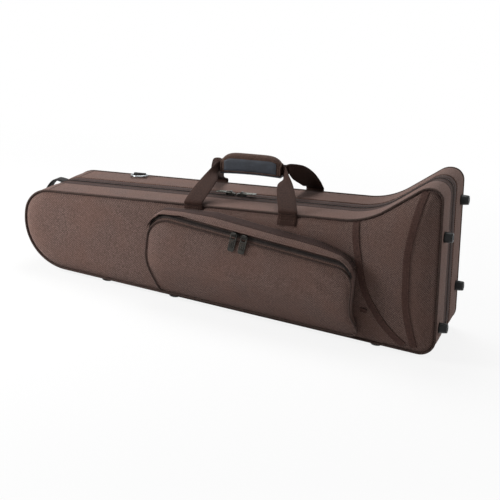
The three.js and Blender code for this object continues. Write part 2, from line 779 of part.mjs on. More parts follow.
// Strip laid on a face of the case along a path of X and Z
const stripGap = 0.9 * MM;
function faceStrip(shell, side, path, halfWidth, thickness, leastDepth = 0) {
  const inner = [];
  path.forEach((p, i) => {
    const before = path[Math.max(i - 1, 0)];
    const after = path[Math.min(i + 1, path.length - 1)];
    const along = after.clone().sub(before).normalize();
    const across = new THREE.Vector2(-along.y, along.x).multiplyScalar(halfWidth);
    inner.push([-1, 0, 1].map((k) => {
      const q = p.clone().addScaledVector(across, k);
      const depth = Math.max(faceDepth(shell, side, q.x, q.y) + stripGap, leastDepth);
      return point(q.x, side * depth, q.y);
    }));
  });
  return loft(inner.map((row) => {
    const top = row.map((p) => p.clone().setY(p.y + side * thickness)).reverse();
    return [...row, ...top];
  }));
}

// Sewn bands on the bell part of the face: each knot's distance from the bell end as a share
// of the valley's, and its height as a share of the outline's height there
const bandHalfWidth = 5.5 * MM;
const bandThickness = 1.4 * MM;
const bandSteps = 22;
const valleyBandKnots = [
  { backShare: 1.097, upShare: 0.957 },
  { backShare: 1.056, upShare: 0.823 },
  { backShare: 0.980, upShare: 0.629 },
  { backShare: 0.883, upShare: 0.431 },
  { backShare: 0.772, upShare: 0.301 },
  { backShare: 0.614, upShare: 0.165 },
  { backShare: 0.462, upShare: 0.080 },
  { backShare: 0.355, upShare: 0.040 },
];
const bellBandKnots = [
  { backShare: 0.412, upShare: 0.966 },
  { backShare: 0.437, upShare: 0.889 },
  { backShare: 0.462, upShare: 0.756 },
  { backShare: 0.470, upShare: 0.607 },
  { backShare: 0.442, upShare: 0.454 },
  { backShare: 0.401, upShare: 0.303 },
  { backShare: 0.330, upShare: 0.169 },
  { backShare: 0.239, upShare: 0.041 },
];
function bandPath(bandKnots) {
  const knots = bandKnots.map(({ backShare, upShare }) => {
    const x = bellX - backShare * troughFromBell;
    return point(x, 0, THREE.MathUtils.lerp(bottomZ, outlineTop(x), upShare));
  });
  const curve = new THREE.CatmullRomCurve3(knots);
  return curve.getSpacedPoints(bandSteps).map((p) => new THREE.Vector2(p.x, p.z));
}
const valleyPath = bandPath(valleyBandKnots);
const valleyBand = faceStrip(frontShell, -1, valleyPath, bandHalfWidth, bandThickness);
addPiece('valley_band', valleyBand, tapeBrown);
const bellPath = bandPath(bellBandKnots);
const bellBand = faceStrip(frontShell, -1, bellPath, bandHalfWidth, bandThickness);
addPiece('bell_band', bellBand, tapeBrown);

// Small folded tab on the face beside the pocket
const tab = {
  fromBell: 146 * MM,
  aboveBottom: 65 * MM,
  width: 13 * MM,
  height: 8 * MM,
  thickness: 3 * MM,
};
const tabPath = [-1, 0, 1].map((k) => {
  const x = bellX - tab.fromBell + (k * tab.width) / 2;
  return new THREE.Vector2(x, bottomZ + tab.aboveBottom);
});
addPiece('side_tab', faceStrip(frontShell, -1, tabPath, tab.height / 2, tab.thickness), tapeBrown);

// Carry handle in the frame of the top edge
const handle = {
  gripCentreU: 3.5 * MM,
  gripHalfLength: 63 * MM,
  gripFrontY: -17 * MM,
  gripRearY: 5 * MM,
  gripTopV: 89 * MM,
  gripEndDrop: 15 * MM,
  gripBottomV: 52 * MM,
  gripArch: 2 * MM,
  gripShoulder: 7 * MM,
  slotFrontY: -10 * MM,
  slotRearY: -1 * MM,
  slotTopV: 71.5 * MM,
  flapThickness: 3 * MM,
  strapThickness: 2 * MM,
  rearRunSlack: 1.2 * MM,
  footV: 0.4 * MM,
  legSwing: 9 * MM,
  strapHalfWidth: 19 * MM,
  runHalfWidth: 9 * MM,
  runV: 61.2 * MM,
  frontFootLeftU: -78.5 * MM,
  frontFootRightU: 113.5 * MM,
  rearFootLeftU: -107.5 * MM,
  rearFootRightU: 102.5 * MM,
};
const gripShares = [-1, -0.94, -0.82, -0.5, 0, 0.5, 0.82, 0.94, 1];
const footY = pipingDepth + pipingProud + pipingRadius + seatGap + handle.strapThickness / 2;
const runFrontY = (handle.slotFrontY + handle.slotRearY) / 2;
const runRearY = handle.gripRearY + seatGap + handle.rearRunSlack + handle.strapThickness / 2;

// Padded wrap: a sleeve open below, that the front strap runs through
function gripGeometry() {
  return loft(gripShares.map((share) => {
    const u = handle.gripCentreU + share * handle.gripHalfLength;
    const top = handle.gripTopV - handle.gripEndDrop * Math.abs(share) ** 6;
    const bottom = handle.gripBottomV - handle.gripArch * share ** 2;
    const shoulder = top - handle.gripShoulder;
    return [
      onTop(u, handle.gripFrontY, bottom),
      onTop(u, handle.gripFrontY, shoulder),
      onTop(u, handle.gripFrontY + handle.gripShoulder / 2, top),
      onTop(u, handle.gripRearY - handle.gripShoulder / 2, top),
      onTop(u, handle.gripRearY, shoulder),
      onTop(u, handle.gripRearY, bottom),
      onTop(u, handle.slotRearY, bottom),
      onTop(u, handle.slotRearY, handle.slotTopV),
      onTop(u, handle.slotFrontY, handle.slotTopV),
      onTop(u, handle.slotFrontY, bottom),
    ];
  }));
}
addPiece('grip_wrap', gripGeometry(), leatherBlack);

// Flap that closes the wrap from below, hinged on its front edge
function flapGeometry() {
  return loft(gripShares.map((share) => {
    const u = handle.gripCentreU + share * handle.gripHalfLength;
    const top = handle.gripBottomV - handle.gripArch * share ** 2 - seatGap;
    const bottom = top - handle.flapThickness;
    return [
      onTop(u, handle.gripFrontY, bottom),
      onTop(u, handle.gripRearY, bottom),
      onTop(u, handle.gripRearY, top),
      onTop(u, handle.gripFrontY, top),
    ];
  }));
}
addPiece('grip_flap', flapGeometry(), leatherBlack);

// Loop of webbing from a foot on the case's edge, along the wrap, to the other foot
// Each station of a leg holds shares of: the way to the edge in Y, the run's height, the widening,
// the swing past the straight way, the twist to lying along the edge
const frontLegShares = [
  [0, 1, 0, 0.45, 0.1],
  [0.18, 0.88, 0, 0.55, 0.3],
  [0.4, 0.69, 0.65, 0.2, 0.95],
  [0.68, 0.44, 1, 0.05, 1],
  [0.9, 0.22, 1, 0, 1],
  [1, 0.09, 1, 0, 1],
  [1, 0, 1, 0, 1],
];
const rearLegShares = [
  [0, 1, 0, 0.4, 0.1],
  [0.08, 1.02, 0.05, 0.7, 0.2],
  [0.31, 0.82, 0.9, 1, 0.4],
  [0.58, 0.56, 1, 0.95, 0.5],
  [0.81, 0.31, 1, 0.5, 0.75],
  [0.93, 0.18, 1, 0.2, 0.95],
  [1, 0.09, 1, 0, 1],
  [1, 0, 1, 0, 1],
];
function legStations(side, runY, endU, footU, inward, legShares) {
  const places = legShares.map(([depth, height, , swing]) => {
    const u = THREE.MathUtils.lerp(endU, footU, depth) - inward * swing * handle.legSwing;
    const y = THREE.MathUtils.lerp(runY, side * footY, depth);
    return onTop(u, y, THREE.MathUtils.lerp(handle.footV, handle.runV, height));
  });
  return places.map((at, i) => {
    const [, , wide, , twist] = legShares[i];
    const before = places[Math.max(i - 1, 0)];
    const after = places[Math.min(i + 1, places.length - 1)];
    const along = after.clone().sub(before).normalize();
    const turn = (twist * Math.PI) / 2;
    const across = topAlong.clone().multiplyScalar(inward * Math.sin(turn));
    across.addScaledVector(topOut, -Math.cos(turn));
    across.addScaledVector(along, (twist - 1) * across.dot(along)).normalize();
    const thick = new THREE.Vector3().crossVectors(along, across).normalize();
    const half = THREE.MathUtils.lerp(handle.runHalfWidth, handle.strapHalfWidth, wide);
    return {
      at,
      half: across.multiplyScalar(half),
      thick: thick.multiplyScalar((-side * inward * handle.strapThickness) / 2),
    };
  });
}
function loopGeometry(side, runY, leftFootU, rightFootU, legShares) {
  const leftEnd = handle.gripCentreU - handle.gripHalfLength;
  const rightEnd = handle.gripCentreU + handle.gripHalfLength;
  const runStation = (u) => ({
    at: onTop(u, runY, handle.runV),
    half: topOut.clone().multiplyScalar(-handle.runHalfWidth),
    thick: point(0, (side * handle.strapThickness) / 2, 0),
  });
  const left = legStations(side, runY, leftEnd, leftFootU, 1, legShares).reverse();
  const right = legStations(side, runY, rightEnd, rightFootU, -1, legShares);
  const run = [leftEnd, rightEnd].map(runStation);
  return strapGeometry([...left, ...run, ...right]);
}
const { frontFootLeftU, frontFootRightU, rearFootLeftU, rearFootRightU } = handle;
const frontLoop = loopGeometry(-1, runFrontY, frontFootLeftU, frontFootRightU, frontLegShares);
addPiece('front_strap', frontLoop, strapBrown);
const rearLoop = loopGeometry(1, runRearY, rearFootLeftU, rearFootRightU, rearLegShares);
addPiece('rear_strap', rearLoop, strapBrown);

// Sewn strap ends on the faces, below each foot of the handle
const strapEnd = {
  top: 0.55 * MM,
  thickness: 1.8 * MM,
  leftLength: 7.5 * MM,
  rightLength: 20 * MM,
  rearLength: 30 * MM,
};
function strapEndPiece(name, shell, side, u, length) {
  const steps = 12;
  const path = [];
  for (let k = 0; k <= steps; k += 1) {
    const p = onTop(u, 0, -strapEnd.top - (length * k) / steps);
    path.push(new THREE.Vector2(p.x, p.z));
  }
  const leastDepth = footY - handle.strapThickness / 2;
  const { thickness } = strapEnd;
  const strip = faceStrip(shell, side, path, handle.strapHalfWidth, thickness, leastDepth);
  addPiece(name, strip, strapBrown);
}
strapEndPiece('front_strap_end_left', frontShell, -1, handle.frontFootLeftU, strapEnd.leftLength);
strapEndPiece('front_strap_end_right', frontShell, -1, handle.frontFootRightU, strapEnd.rightLength);
strapEndPiece('rear_strap_end_left', rearShell, 1, handle.rearFootLeftU, strapEnd.rearLength);
strapEndPiece('rear_strap_end_right', rearShell, 1, handle.rearFootRightU, strapEnd.rearLength);

// Ring of round wire in a webbing tab on the rear top edge
const ring = {
  u: -279 * MM,
  barFromPiping: 24 * MM,
  barV: 5.2 * MM,
  halfWidth: 17 * MM,
  wire: 2.2 * MM,
  tabHalfWidth: 13 * MM,
  tabFromPiping: 5 * MM,
  tabThickness: 2 * MM,
  tabLoop: 4.8 * MM,
  barClearance: 0.7 * MM,
};
const ringBarY = pipingDepth - ring.barFromPiping;
const tabRearY = pipingDepth - ring.tabFromPiping;
const wireSides = 6;
const ringSteps = 12;
function ringGeometry() {
  const way = [];
  for (let k = 0; k <= ringSteps; k += 1) {
    const angle = (Math.PI * k) / ringSteps;
    const reach = ring.wire + ring.halfWidth * Math.sin(angle);
    const onBar = k === 0 || k === ringSteps;
    way.push({ u: ring.halfWidth * Math.cos(angle), y: onBar ? ringBarY : ringBarY - reach });
  }
  const sections = way.map((p, i) => {
    const before = way[(i + way.length - 1) % way.length];
    const after = way[(i + 1) % way.length];
    const along = new THREE.Vector2(after.u - before.u, after.y - before.y).normalize();
    const out = new THREE.Vector2(along.y, -along.x);
    const points = [];
    for (let k = 0; k < wireSides; k += 1) {
      const angle = (2 * Math.PI * k) / wireSides;
      const offset = ring.wire * Math.cos(angle);
      const v = ring.barV + ring.wire * Math.sin(angle);
      points.push(onTop(ring.u + p.u + out.x * offset, p.y + out.y * offset, v));
    }
    return points;
  });
  return loft(sections, true);
}
addPiece('strap_ring', ringGeometry(), chrome);
function ringTabGeometry() {
  const outline = [
    new THREE.Vector2(tabRearY, seatGap),
    new THREE.Vector2(tabRearY, seatGap + ring.tabThickness),
    new THREE.Vector2(ringBarY + ring.tabLoop + ring.tabThickness, seatGap + ring.tabThickness),
    ...arcPoints(ringBarY, ring.barV, ring.tabLoop, Math.PI / 8, 1.42 * Math.PI, 10),
  ];
  const hole = circlePoints(ringBarY, ring.barV, ring.wire + ring.barClearance, holeSides);
  const origin = onTop(ring.u - ring.tabHalfWidth, 0, 0);
  return pushed(outline, [hole], 2 * ring.tabHalfWidth, origin, acrossY, topOut);
}
addPiece('ring_tab', ringTabGeometry(), webbingBlack);

// Grab loop on the narrow end, just behind the zip, with a sewn end at each foot
const grab = {
  fromChannel: 19 * MM,
  halfWidth: 14 * MM,
  thickness: 3.2 * MM,
  reach: 46.2 * MM,
  upperAngle: 140 * DEGREE,
  lowerAngle: 224 * DEGREE,
};
const grabSteps = 12;
const grabMiddleY = channelHalfWidth + grab.fromChannel;
const grabCentreZ = bottomZ + narrowHeight - upperNarrowRadius;
const grabCentre = new THREE.Vector2(narrowX + upperNarrowRadius, grabCentreZ);

// Place on the end of the case at an angle round the narrow end
function grabFoot(angle) {
  const hits = [];
  const outline = outlineRing(0);
  const way = new THREE.Vector2(Math.cos(angle), Math.sin(angle));
  outline.forEach((p, i) => {
    const q = outline[(i + 1) % outline.length];
    const edge = q.clone().sub(p);
    const cross = way.cross(edge);
    if (Math.abs(cross) > 0) {
      const gap = p.clone().sub(grabCentre);
      const along = gap.cross(edge) / cross;
      const share = gap.cross(way) / cross;
      if (along > 0 && share >= 0 && share < 1) {
        const at = grabCentre.clone().addScaledVector(way, along);
        hits.push({ at, out: new THREE.Vector2(edge.y, -edge.x).normalize() });
      }
    }
  });
  return hits[0];
}
const grabUpper = grabFoot(grab.upperAngle);
const grabLower = grabFoot(grab.lowerAngle);
const grabLift = seatGap + grab.thickness / 2;
const grabKnotShares = [
  { down: 0.2, out: 0.62, up: 0.3 },
  { down: 0.5, out: 1, up: 0 },
  { down: 0.8, out: 0.7, up: -0.2 },
];
const grabKnots = [
  grabUpper.at.clone().addScaledVector(grabUpper.out, grabLift),
  ...grabKnotShares.map(({ down, out, up }) => {
    const bulge = new THREE.Vector2(-out * grab.reach, up * grab.reach);
    return grabUpper.at.clone().lerp(grabLower.at, down).add(bulge);
  }),
  grabLower.at.clone().addScaledVector(grabLower.out, grabLift),
];
function grabGeometry() {
  const curve = new THREE.CatmullRomCurve3(grabKnots.map((p) => point(p.x, grabMiddleY, p.y)));
  const way = curve.getSpacedPoints(grabSteps);
  return strapGeometry(way.map((at, i) => {
    const along = curve.getTangentAt(i / grabSteps);
    const out = new THREE.Vector3().crossVectors(along, acrossY).normalize();
    return {
      at,
      half: acrossY.clone().multiplyScalar(grab.halfWidth),
      thick: out.multiplyScalar(grab.thickness / 2),
    };
  }));
}
addPiece('grab_loop', grabGeometry(), webbingBlack);

// Rubber feet: four on the bell end wall, six under the case
const wallFoot = {
  baseRadius: 10.5 * MM,
  tipRadius: 9 * MM,
  length: 17 * MM,
  fromPiping: 26 * MM,
};
const wallFootY = pipingDepth - wallFoot.fromPiping;
const wallFootPlaces = [
  { name: 'bell_foot_front_upper', side: -1, upShare: 0.7116 },
  { name: 'bell_foot_front_lower', side: -1, upShare: 0.1599 },
  { name: 'bell_foot_rear_upper', side: 1, upShare: 0.8276 },
  { name: 'bell_foot_rear_lower', side: 1, upShare: 0.279 },
];
const footSides = 14;
const wallOut = point(Math.cos(wallLean), 0, Math.sin(wallLean));
function coneGeometry(baseRadius, tipRadius, length, sides) {
  const profile = [
    new THREE.Vector2(0, 0),
    new THREE.Vector2(baseRadius, 0),
    new THREE.Vector2(tipRadius, length),
    new THREE.Vector2(0, length),
  ];
  return new THREE.LatheGeometry(profile, sides);
}
wallFootPlaces.forEach(({ name, side, upShare }) => {
  const { baseRadius, tipRadius, length } = wallFoot;
  const foot = addPiece(name, coneGeometry(baseRadius, tipRadius, length, footSides), rubberBlack);
  const rise = upShare * bellHeight;
  const onWall = point(bellX - rise * Math.tan(wallLean), side * wallFootY, bottomZ + rise);
  foot.quaternion.setFromUnitVectors(acrossY, wallOut);
  foot.position.copy(onWall.addScaledVector(wallOut, seatGap));
});
const bottomFoot = { radius: 11 * MM, fromPiping: 18 * MM };
const bottomFootFromNarrow = { narrow: 188 * MM, middle: 337 * MM };
const bottomFootFromBell = 118 * MM;
const bottomFootX = {
  narrow: narrowX + bottomFootFromNarrow.narrow,
  middle: narrowX + bottomFootFromNarrow.middle,
  bell: bellX - bottomFootFromBell,
};
Object.entries(bottomFootX).forEach(([label, x]) => {
  [['front', -1], ['rear', 1]].forEach(([half, side]) => {
    const length = bottomFootHeight - seatGap;
    const geometry = coneGeometry(bottomFoot.radius, bottomFoot.radius, length, footSides);
    const foot = addPiece(`bottom_foot_${half}_${label}`, geometry, rubberBlack);
    foot.rotation.x = Math.PI / 2;
    foot.position.set(x, side * (pipingDepth - bottomFoot.fromPiping), 0);
  });
});

// Fittings inside the rear half, seated on its floor
const floorY = pipingDepth + faceBulge - wallThickness - seatGap;
const upZ = point(0, 0, 1);
const towardsLid = point(0, -1, 0);

// Block with a row of round notches in its top, standing on the rear floor
function notchedBlock(fromX, length, fromZ, toZ, height, notches) {
  const outline = [new THREE.Vector2(fromZ, 0), new THREE.Vector2(toZ, 0), new THREE.Vector2(toZ, height)];
  [...notches].reverse().forEach(({ z, radius }) => {
    outline.push(...arcPoints(z, height, radius, 0, -Math.PI, 8));
  });
  outline.push(new THREE.Vector2(fromZ, height));
  return pushed(outline, [], length, point(fromX, floorY, 0), upZ, towardsLid);
}
const narrowTopZ = bottomZ + narrowHeight;
const saddle = {
  length: 30 * MM,
  fromBottom: 18 * MM,
  fromTop: 18 * MM,
  height: 38 * MM,
  tubeRadius: 13 * MM,
  tubeInset: 14.5 * MM,
  leftFromNarrow: 185 * MM,
  rightFromNarrow: 550 * MM,
};
const saddleX = { left: narrowX + saddle.leftFromNarrow, right: narrowX + saddle.rightFromNarrow };
const saddleFromZ = bottomZ + saddle.fromBottom;
const saddleToZ = narrowTopZ - saddle.fromTop;
const saddleNotches = [
  { z: saddleFromZ + saddle.tubeInset, radius: saddle.tubeRadius },
  { z: saddleToZ - saddle.tubeInset, radius: saddle.tubeRadius },
];
Object.entries(saddleX).forEach(([label, x]) => {
  const { length, height } = saddle;
  const geometry = notchedBlock(x, length, saddleFromZ, saddleToZ, height, saddleNotches);
  addPiece(`slide_saddle_${label}`, geometry, plushBrown);
});
const neck = {
  fromBell: 246 * MM,
  length: 32 * MM,
  belowNarrowTop: 12 * MM,
  aboveNarrowTop: 46 * MM,
  topY: 6 * MM,
  radius: 22 * MM,
};
const neckX = bellX - neck.fromBell;
const neckFromZ = narrowTopZ - neck.belowNarrowTop;
const neckToZ = narrowTopZ + neck.aboveNarrowTop;
const neckZ = (neckFromZ + neckToZ) / 2;
const neckNotches = [{ z: neckZ, radius: neck.radius }];
const neckHeight = floorY - neck.topY;
const neckGeometry = notchedBlock(neckX, neck.length, neckFromZ, neckToZ, neckHeight, neckNotches);
addPiece('bell_neck_cradle', neckGeometry, plushBrown);
const bow = {
  fromNarrow: 100 * MM,
  length: 30 * MM,
  fromBottom: 52 * MM,
  fromTop: 20 * MM,
  height: 80 * MM,
  notchShare: 0.8,
};
const bowX = narrowX + bow.fromNarrow;
const bowFromZ = bottomZ + bow.fromBottom;
const bowToZ = narrowTopZ - bow.fromTop;
const bowRadius = (bow.notchShare * (bowToZ - bowFromZ)) / 2;
const bowNotches = [{ z: (bowFromZ + bowToZ) / 2, radius: bowRadius }];
const bowGeometry = notchedBlock(bowX, bow.length, bowFromZ, bowToZ, bow.height, bowNotches);
addPiece('tuning_slide_cradle', bowGeometry, plushBrown);

// Pad with a hollow face that the bell's rim rests on, seated on the floor below it
const rim = {
  fromBell: 84 * MM,
  length: 26 * MM,
  belowPiping: 7 * MM,
  halfHeightShare: 0.8155,
  fromTop: 27.6 * MM,
};
const rimX = bellX - rim.fromBell;
const rimRadius = pipingDepth - rim.belowPiping;
const rimHalfHeight = rim.halfHeightShare * rimRadius;
const rimZ = outlineTop(rimX) - rim.fromTop - rimHalfHeight;
function innerFloor(x, z) {
  faceFinder.set(point(x, 0, z), acrossY);
  return faceFinder.intersectObject(rearShell)[0].point.y;
}
function rimPadGeometry() {
  const [lowerY, upperY] = [-rimHalfHeight, rimHalfHeight].map((offset) => Math.min(
    innerFloor(rimX, rimZ + offset),
    innerFloor(rimX + rim.length, rimZ + offset),
  ) - seatGap);
  const half = Math.asin(rim.halfHeightShare);
  const outline = [
    new THREE.Vector2(rimZ - rimHalfHeight, 0),
    new THREE.Vector2(rimZ + rimHalfHeight, lowerY - upperY),
    ...arcPoints(rimZ, lowerY, rimRadius, -Math.PI / 2 + half, -Math.PI / 2 - half, 10),
  ];
  return pushed(outline, [], rim.length, point(rimX, lowerY, 0), upZ, towardsLid);
}
addPiece('bell_rim_pad', rimPadGeometry(), plushBrown);

// Accessory box between the slide's tubes, with a hinged lid
const box = {
  fromNarrow: 240 * MM,
  length: 140 * MM,
  fromBottom: 50 * MM,
  fromTop: 50 * MM,
  depth: 41 * MM,
  wall: 3 * MM,
  lidThickness: 3 * MM,
};
const boxFromX = narrowX + box.fromNarrow;
const boxToX = boxFromX + box.length;
const boxFromZ = bottomZ + box.fromBottom;
const boxToZ = narrowTopZ - box.fromTop;
function boxRing(inset, y) {
  return [
    point(boxFromX + inset, y, boxFromZ + inset),
    point(boxToX - inset, y, boxFromZ + inset),
    point(boxToX - inset, y, boxToZ - inset),
    point(boxFromX + inset, y, boxToZ - inset),
  ];
}
const boxRimY = floorY - box.depth;
addPiece('accessory_box', loft([
  boxRing(0, floorY),
  boxRing(0, boxRimY),
  boxRing(box.wall, boxRimY),
  boxRing(box.wall, floorY - box.wall),
]), plushBrown);
const boxLidY = boxRimY - seatGap;
addPiece('accessory_lid', loft([
  boxRing(0, boxLidY),
  boxRing(0, boxLidY - box.lidThickness),
]), plushBrown);

// Block with a bore for the mouthpiece
const holder = {
  fromNarrow: 442 * MM,
  length: 50 * MM,
  halfWidth: 24 * MM,
  height: 30 * MM,
  bore: 13 * MM,
};
const boreSides = 16;
const holderFromX = narrowX + holder.fromNarrow;
const holderToX = holderFromX + holder.length;
const holderX = (holderFromX + holderToX) / 2;
const holderZ = (boxFromZ + boxToZ) / 2;
const holderOutline = [
  new THREE.Vector2(holderFromX, holderZ - holder.halfWidth),
  new THREE.Vector2(holderToX, holderZ - holder.halfWidth),
  new THREE.Vector2(holderToX, holderZ + holder.halfWidth),
  new THREE.Vector2(holderFromX, holderZ + holder.halfWidth),
];
const holderBore = circlePoints(holderX, holderZ, holder.bore, boreSides);
const holderSeat = point(0, floorY, 0);
const alongX = point(1, 0, 0);
const holderGeometry = pushed(holderOutline, [holderBore], holder.height, holderSeat, alongX, upZ);
addPiece('mouthpiece_holder', holderGeometry, plushBrown);

// Hold-down straps over the neck and over the slide
const hold = {
  halfWidth: 11 * MM,
  thickness: 1.6 * MM,
  slideEnd: 8 * MM,
  neckEnd: 10 * MM,
  farEnd: 2 * MM,
};
function holdStrap(middleX, path) {
  return strapGeometry(path.map((p, i) => {
    const before = path[Math.max(i - 1, 0)];
    const after = path[Math.min(i + 1, path.length - 1)];
    const along = new THREE.Vector2(after.y - before.y, after.z - before.z).normalize();
    return {
      at: point(middleX, p.y, p.z),
      half: point(hold.halfWidth, 0, 0),
      thick: point(0, -along.y, along.x).multiplyScalar(hold.thickness / 2),
    };
  }));
}
const neckArcRadius = (neckToZ - neckFromZ) / 2 + softGap + hold.thickness / 2;
const neckArc = arcPoints(0, 0, neckArcRadius, 0, Math.PI, 10).map((p) => ({
  y: neck.topY - p.y,
  z: neckZ + p.x,
}));
addPiece('neck_hold_strap', holdStrap(neckX + neck.length / 2, [
  { y: neck.topY + hold.farEnd, z: neckArc[0].z },
  ...neckArc,
  { y: neck.topY + hold.neckEnd, z: neckArc[neckArc.length - 1].z },
]), webbingBlack);
const saddleTopY = floorY - saddle.height;
const slideStrapY = saddleTopY - softGap - hold.thickness / 2;
const slideStrapSide = softGap + hold.thickness / 2;
addPiece('slide_hold_strap', holdStrap(saddleX.right + saddle.length / 2, [
  { y: saddleTopY + hold.slideEnd, z: saddleToZ + slideStrapSide },
  { y: slideStrapY, z: saddleToZ + slideStrapSide },
  { y: slideStrapY, z: saddleFromZ - slideStrapSide },
  { y: saddleTopY + hold.farEnd, z: saddleFromZ - slideStrapSide },
]), webbingBlack);

// Pad in the lid that presses on the instrument
const lidPad = {
  fromNarrow: 140 * MM,
  length: 180 * MM,
  fromBottom: 42 * MM,
  fromTop: 28 * MM,
  height: 30 * MM,
};
const lidPadFromZ = bottomZ + lidPad.fromBottom;
const lidPadToZ = narrowTopZ - lidPad.fromTop;
const lidPadGeometry = new THREE.BoxGeometry(lidPad.length, lidPad.height, lidPadToZ - lidPadFromZ);
const lidPadMesh = addPiece('lid_pad', lidPadGeometry, plushBrown);
lidPadMesh.position.set(
  narrowX + lidPad.fromNarrow + lidPad.length / 2,
  -floorY + lidPad.height / 2,
  (lidPadFromZ + lidPadToZ) / 2,
);

// The part's origin lies under the middle of its box
const bounds = new THREE.Box3().setFromObject(caseGroup, true);
const middle = bounds.getCenter(new THREE.Vector3());
caseGroup.position.set(-middle.x, -middle.y, -bounds.min.z);
const part = new THREE.Group();
part.add(caseGroup);

export default part;
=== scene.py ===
"""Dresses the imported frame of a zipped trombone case: woven covers, zips, straps, grip, feet and plush.

Every shape is worked out in millimetres in the case's own frame, where the two halves part at Y = 0,
X = 0 lies 440 mm from the narrow end and Z = 0 is the ground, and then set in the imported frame. A side
is -1 for the front and 1 for the rear.
"""

import json
import logging
import math
from dataclasses import dataclass, field
from enum import Enum

import bpy
import numpy as np
from mathutils import Matrix, Vector, noise
from mathutils.bvhtree import BVHTree


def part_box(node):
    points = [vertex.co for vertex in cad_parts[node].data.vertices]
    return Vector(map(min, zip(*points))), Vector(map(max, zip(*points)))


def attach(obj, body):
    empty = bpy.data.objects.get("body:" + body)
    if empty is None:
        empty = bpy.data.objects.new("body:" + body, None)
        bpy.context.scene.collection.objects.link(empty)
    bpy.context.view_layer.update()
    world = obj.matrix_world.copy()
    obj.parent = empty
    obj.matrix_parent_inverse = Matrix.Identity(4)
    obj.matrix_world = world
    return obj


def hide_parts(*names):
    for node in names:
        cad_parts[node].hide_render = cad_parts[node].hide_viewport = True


logging.basicConfig(level=logging.INFO, format="%(message)s")
log = logging.getLogger("trombone_case")

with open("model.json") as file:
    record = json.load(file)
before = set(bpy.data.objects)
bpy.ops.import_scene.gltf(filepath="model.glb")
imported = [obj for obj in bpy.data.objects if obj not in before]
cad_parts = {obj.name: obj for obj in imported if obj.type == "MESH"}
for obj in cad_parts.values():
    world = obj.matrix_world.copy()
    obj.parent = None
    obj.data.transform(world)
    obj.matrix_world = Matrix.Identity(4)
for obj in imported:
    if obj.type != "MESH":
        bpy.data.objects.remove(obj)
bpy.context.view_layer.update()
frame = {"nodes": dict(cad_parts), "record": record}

MM = 0.001
FULL_TURN = 2 * math.pi
STITCH_RISE = 0.05
# Bodies of the record that carry most pieces
FRONT, REAR, HANDLE = "front_half", "rear_half", "front_handle"
# Kinds of shader nodes used again and again
MATH, MIX, RANGE = "ShaderNodeMath", "ShaderNodeMix", "ShaderNodeMapRange"
NOISE, PLACE, SPLIT = "ShaderNodeTexNoise", "ShaderNodeTexCoord", "ShaderNodeSeparateXYZ"
# Paths with the way that is up at each of their points
Rows = list[tuple[np.ndarray, np.ndarray]]


class Slot(Enum):
    """Material slots of the record that the pieces take their finish from."""

    FABRIC = "case_fabric"
    TAPE = "zip_tape"
    COIL = "zip_coil"
    PIPING = "piping"
    WEBBING = "brown_webbing"
    DARK_WEBBING = "black_webbing"
    LEATHER = "grip_leather"
    RUBBER = "foot_rubber"
    GUNMETAL = "gunmetal"
    BRIGHT = "bright_plate"
    PLUSH = "plush"


class Ends(Enum):
    """How the first and the last ring of a loft are closed."""

    FLAT = "flat"
    FAN = "fan"
    LADDER = "ladder"
    JOINED = "joined"


def linear(hex_code: str) -> tuple[float, ...]:
    """Turns an sRGB hex colour into linear red, green, blue and alpha."""
    parts = [int(hex_code[i : i + 2], 16) / 255 for i in (0, 2, 4)]
    return *(p / 12.92 if p <= 0.04045 else ((p + 0.055) / 1.055) ** 2.4 for p in parts), 1.0


def tune(item: bpy.types.bpy_struct, settings: dict) -> None:
    """Sets properties of a node, a modifier or a piece of data."""
    for key, value in settings.items():
        setattr(item, key, value)


def feed(node: bpy.types.Node, inputs: dict) -> bpy.types.Node:
    """Sets the inputs of a node.

    Args:
        node: The node.
        inputs: Socket name or index to a value, or to the output socket that feeds it.

    Returns:
        The same node.
    """
    for key, value in inputs.items():
        if isinstance(value, bpy.types.NodeSocket):
            node.id_data.links.new(value, node.inputs[key])
        else:
            node.inputs[key].default_value = value
    return node


def add_node(
    tree: bpy.types.NodeTree, kind: str, settings: dict | None = None, inputs: dict | None = None
) -> bpy.types.Node:
    """Adds one node to a tree.

    Args:
        tree: Node tree that gets the node.
        kind: Blender's name of the node type.
        settings: Values of the node's own properties.
        inputs: What its inputs are fed.

    Returns:
        The new node.
    """
    made = tree.nodes.new(kind)
    tune(made, settings or {})
    return feed(made, inputs or {})


def start_material(name: str) -> tuple[bpy.types.Material, bpy.types.NodeTree, bpy.types.Node]:
    """Starts a material.

    Args:
        name: Name of the finish.

    Returns:
        The material, its tree and its principled shader.
    """
    made = bpy.data.materials.new(name)
    made.use_nodes = True
    return made, made.node_tree, made.node_tree.nodes["Principled BSDF"]


def add_object(name: str, data: bpy.types.ID) -> bpy.types.Object:
    """Adds an object at the origin to the scene.

    Args:
        name: Name of the object.
        data: Its mesh, curve, camera or lamp.

    Returns:
        The object.
    """
    made = bpy.data.objects.new(name, data)
    bpy.context.scene.collection.objects.link(made)
    return made


def settled(made: bpy.types.Object) -> bpy.types.Mesh:
    """Takes the modifiers off an object.

    Args:
        made: The object.

    Returns:
        The mesh that they made.
    """
    mesh = bpy.data.meshes.new_from_object(made.evaluated_get(bpy.context.evaluated_depsgraph_get()))
    made.modifiers.clear()
    return mesh


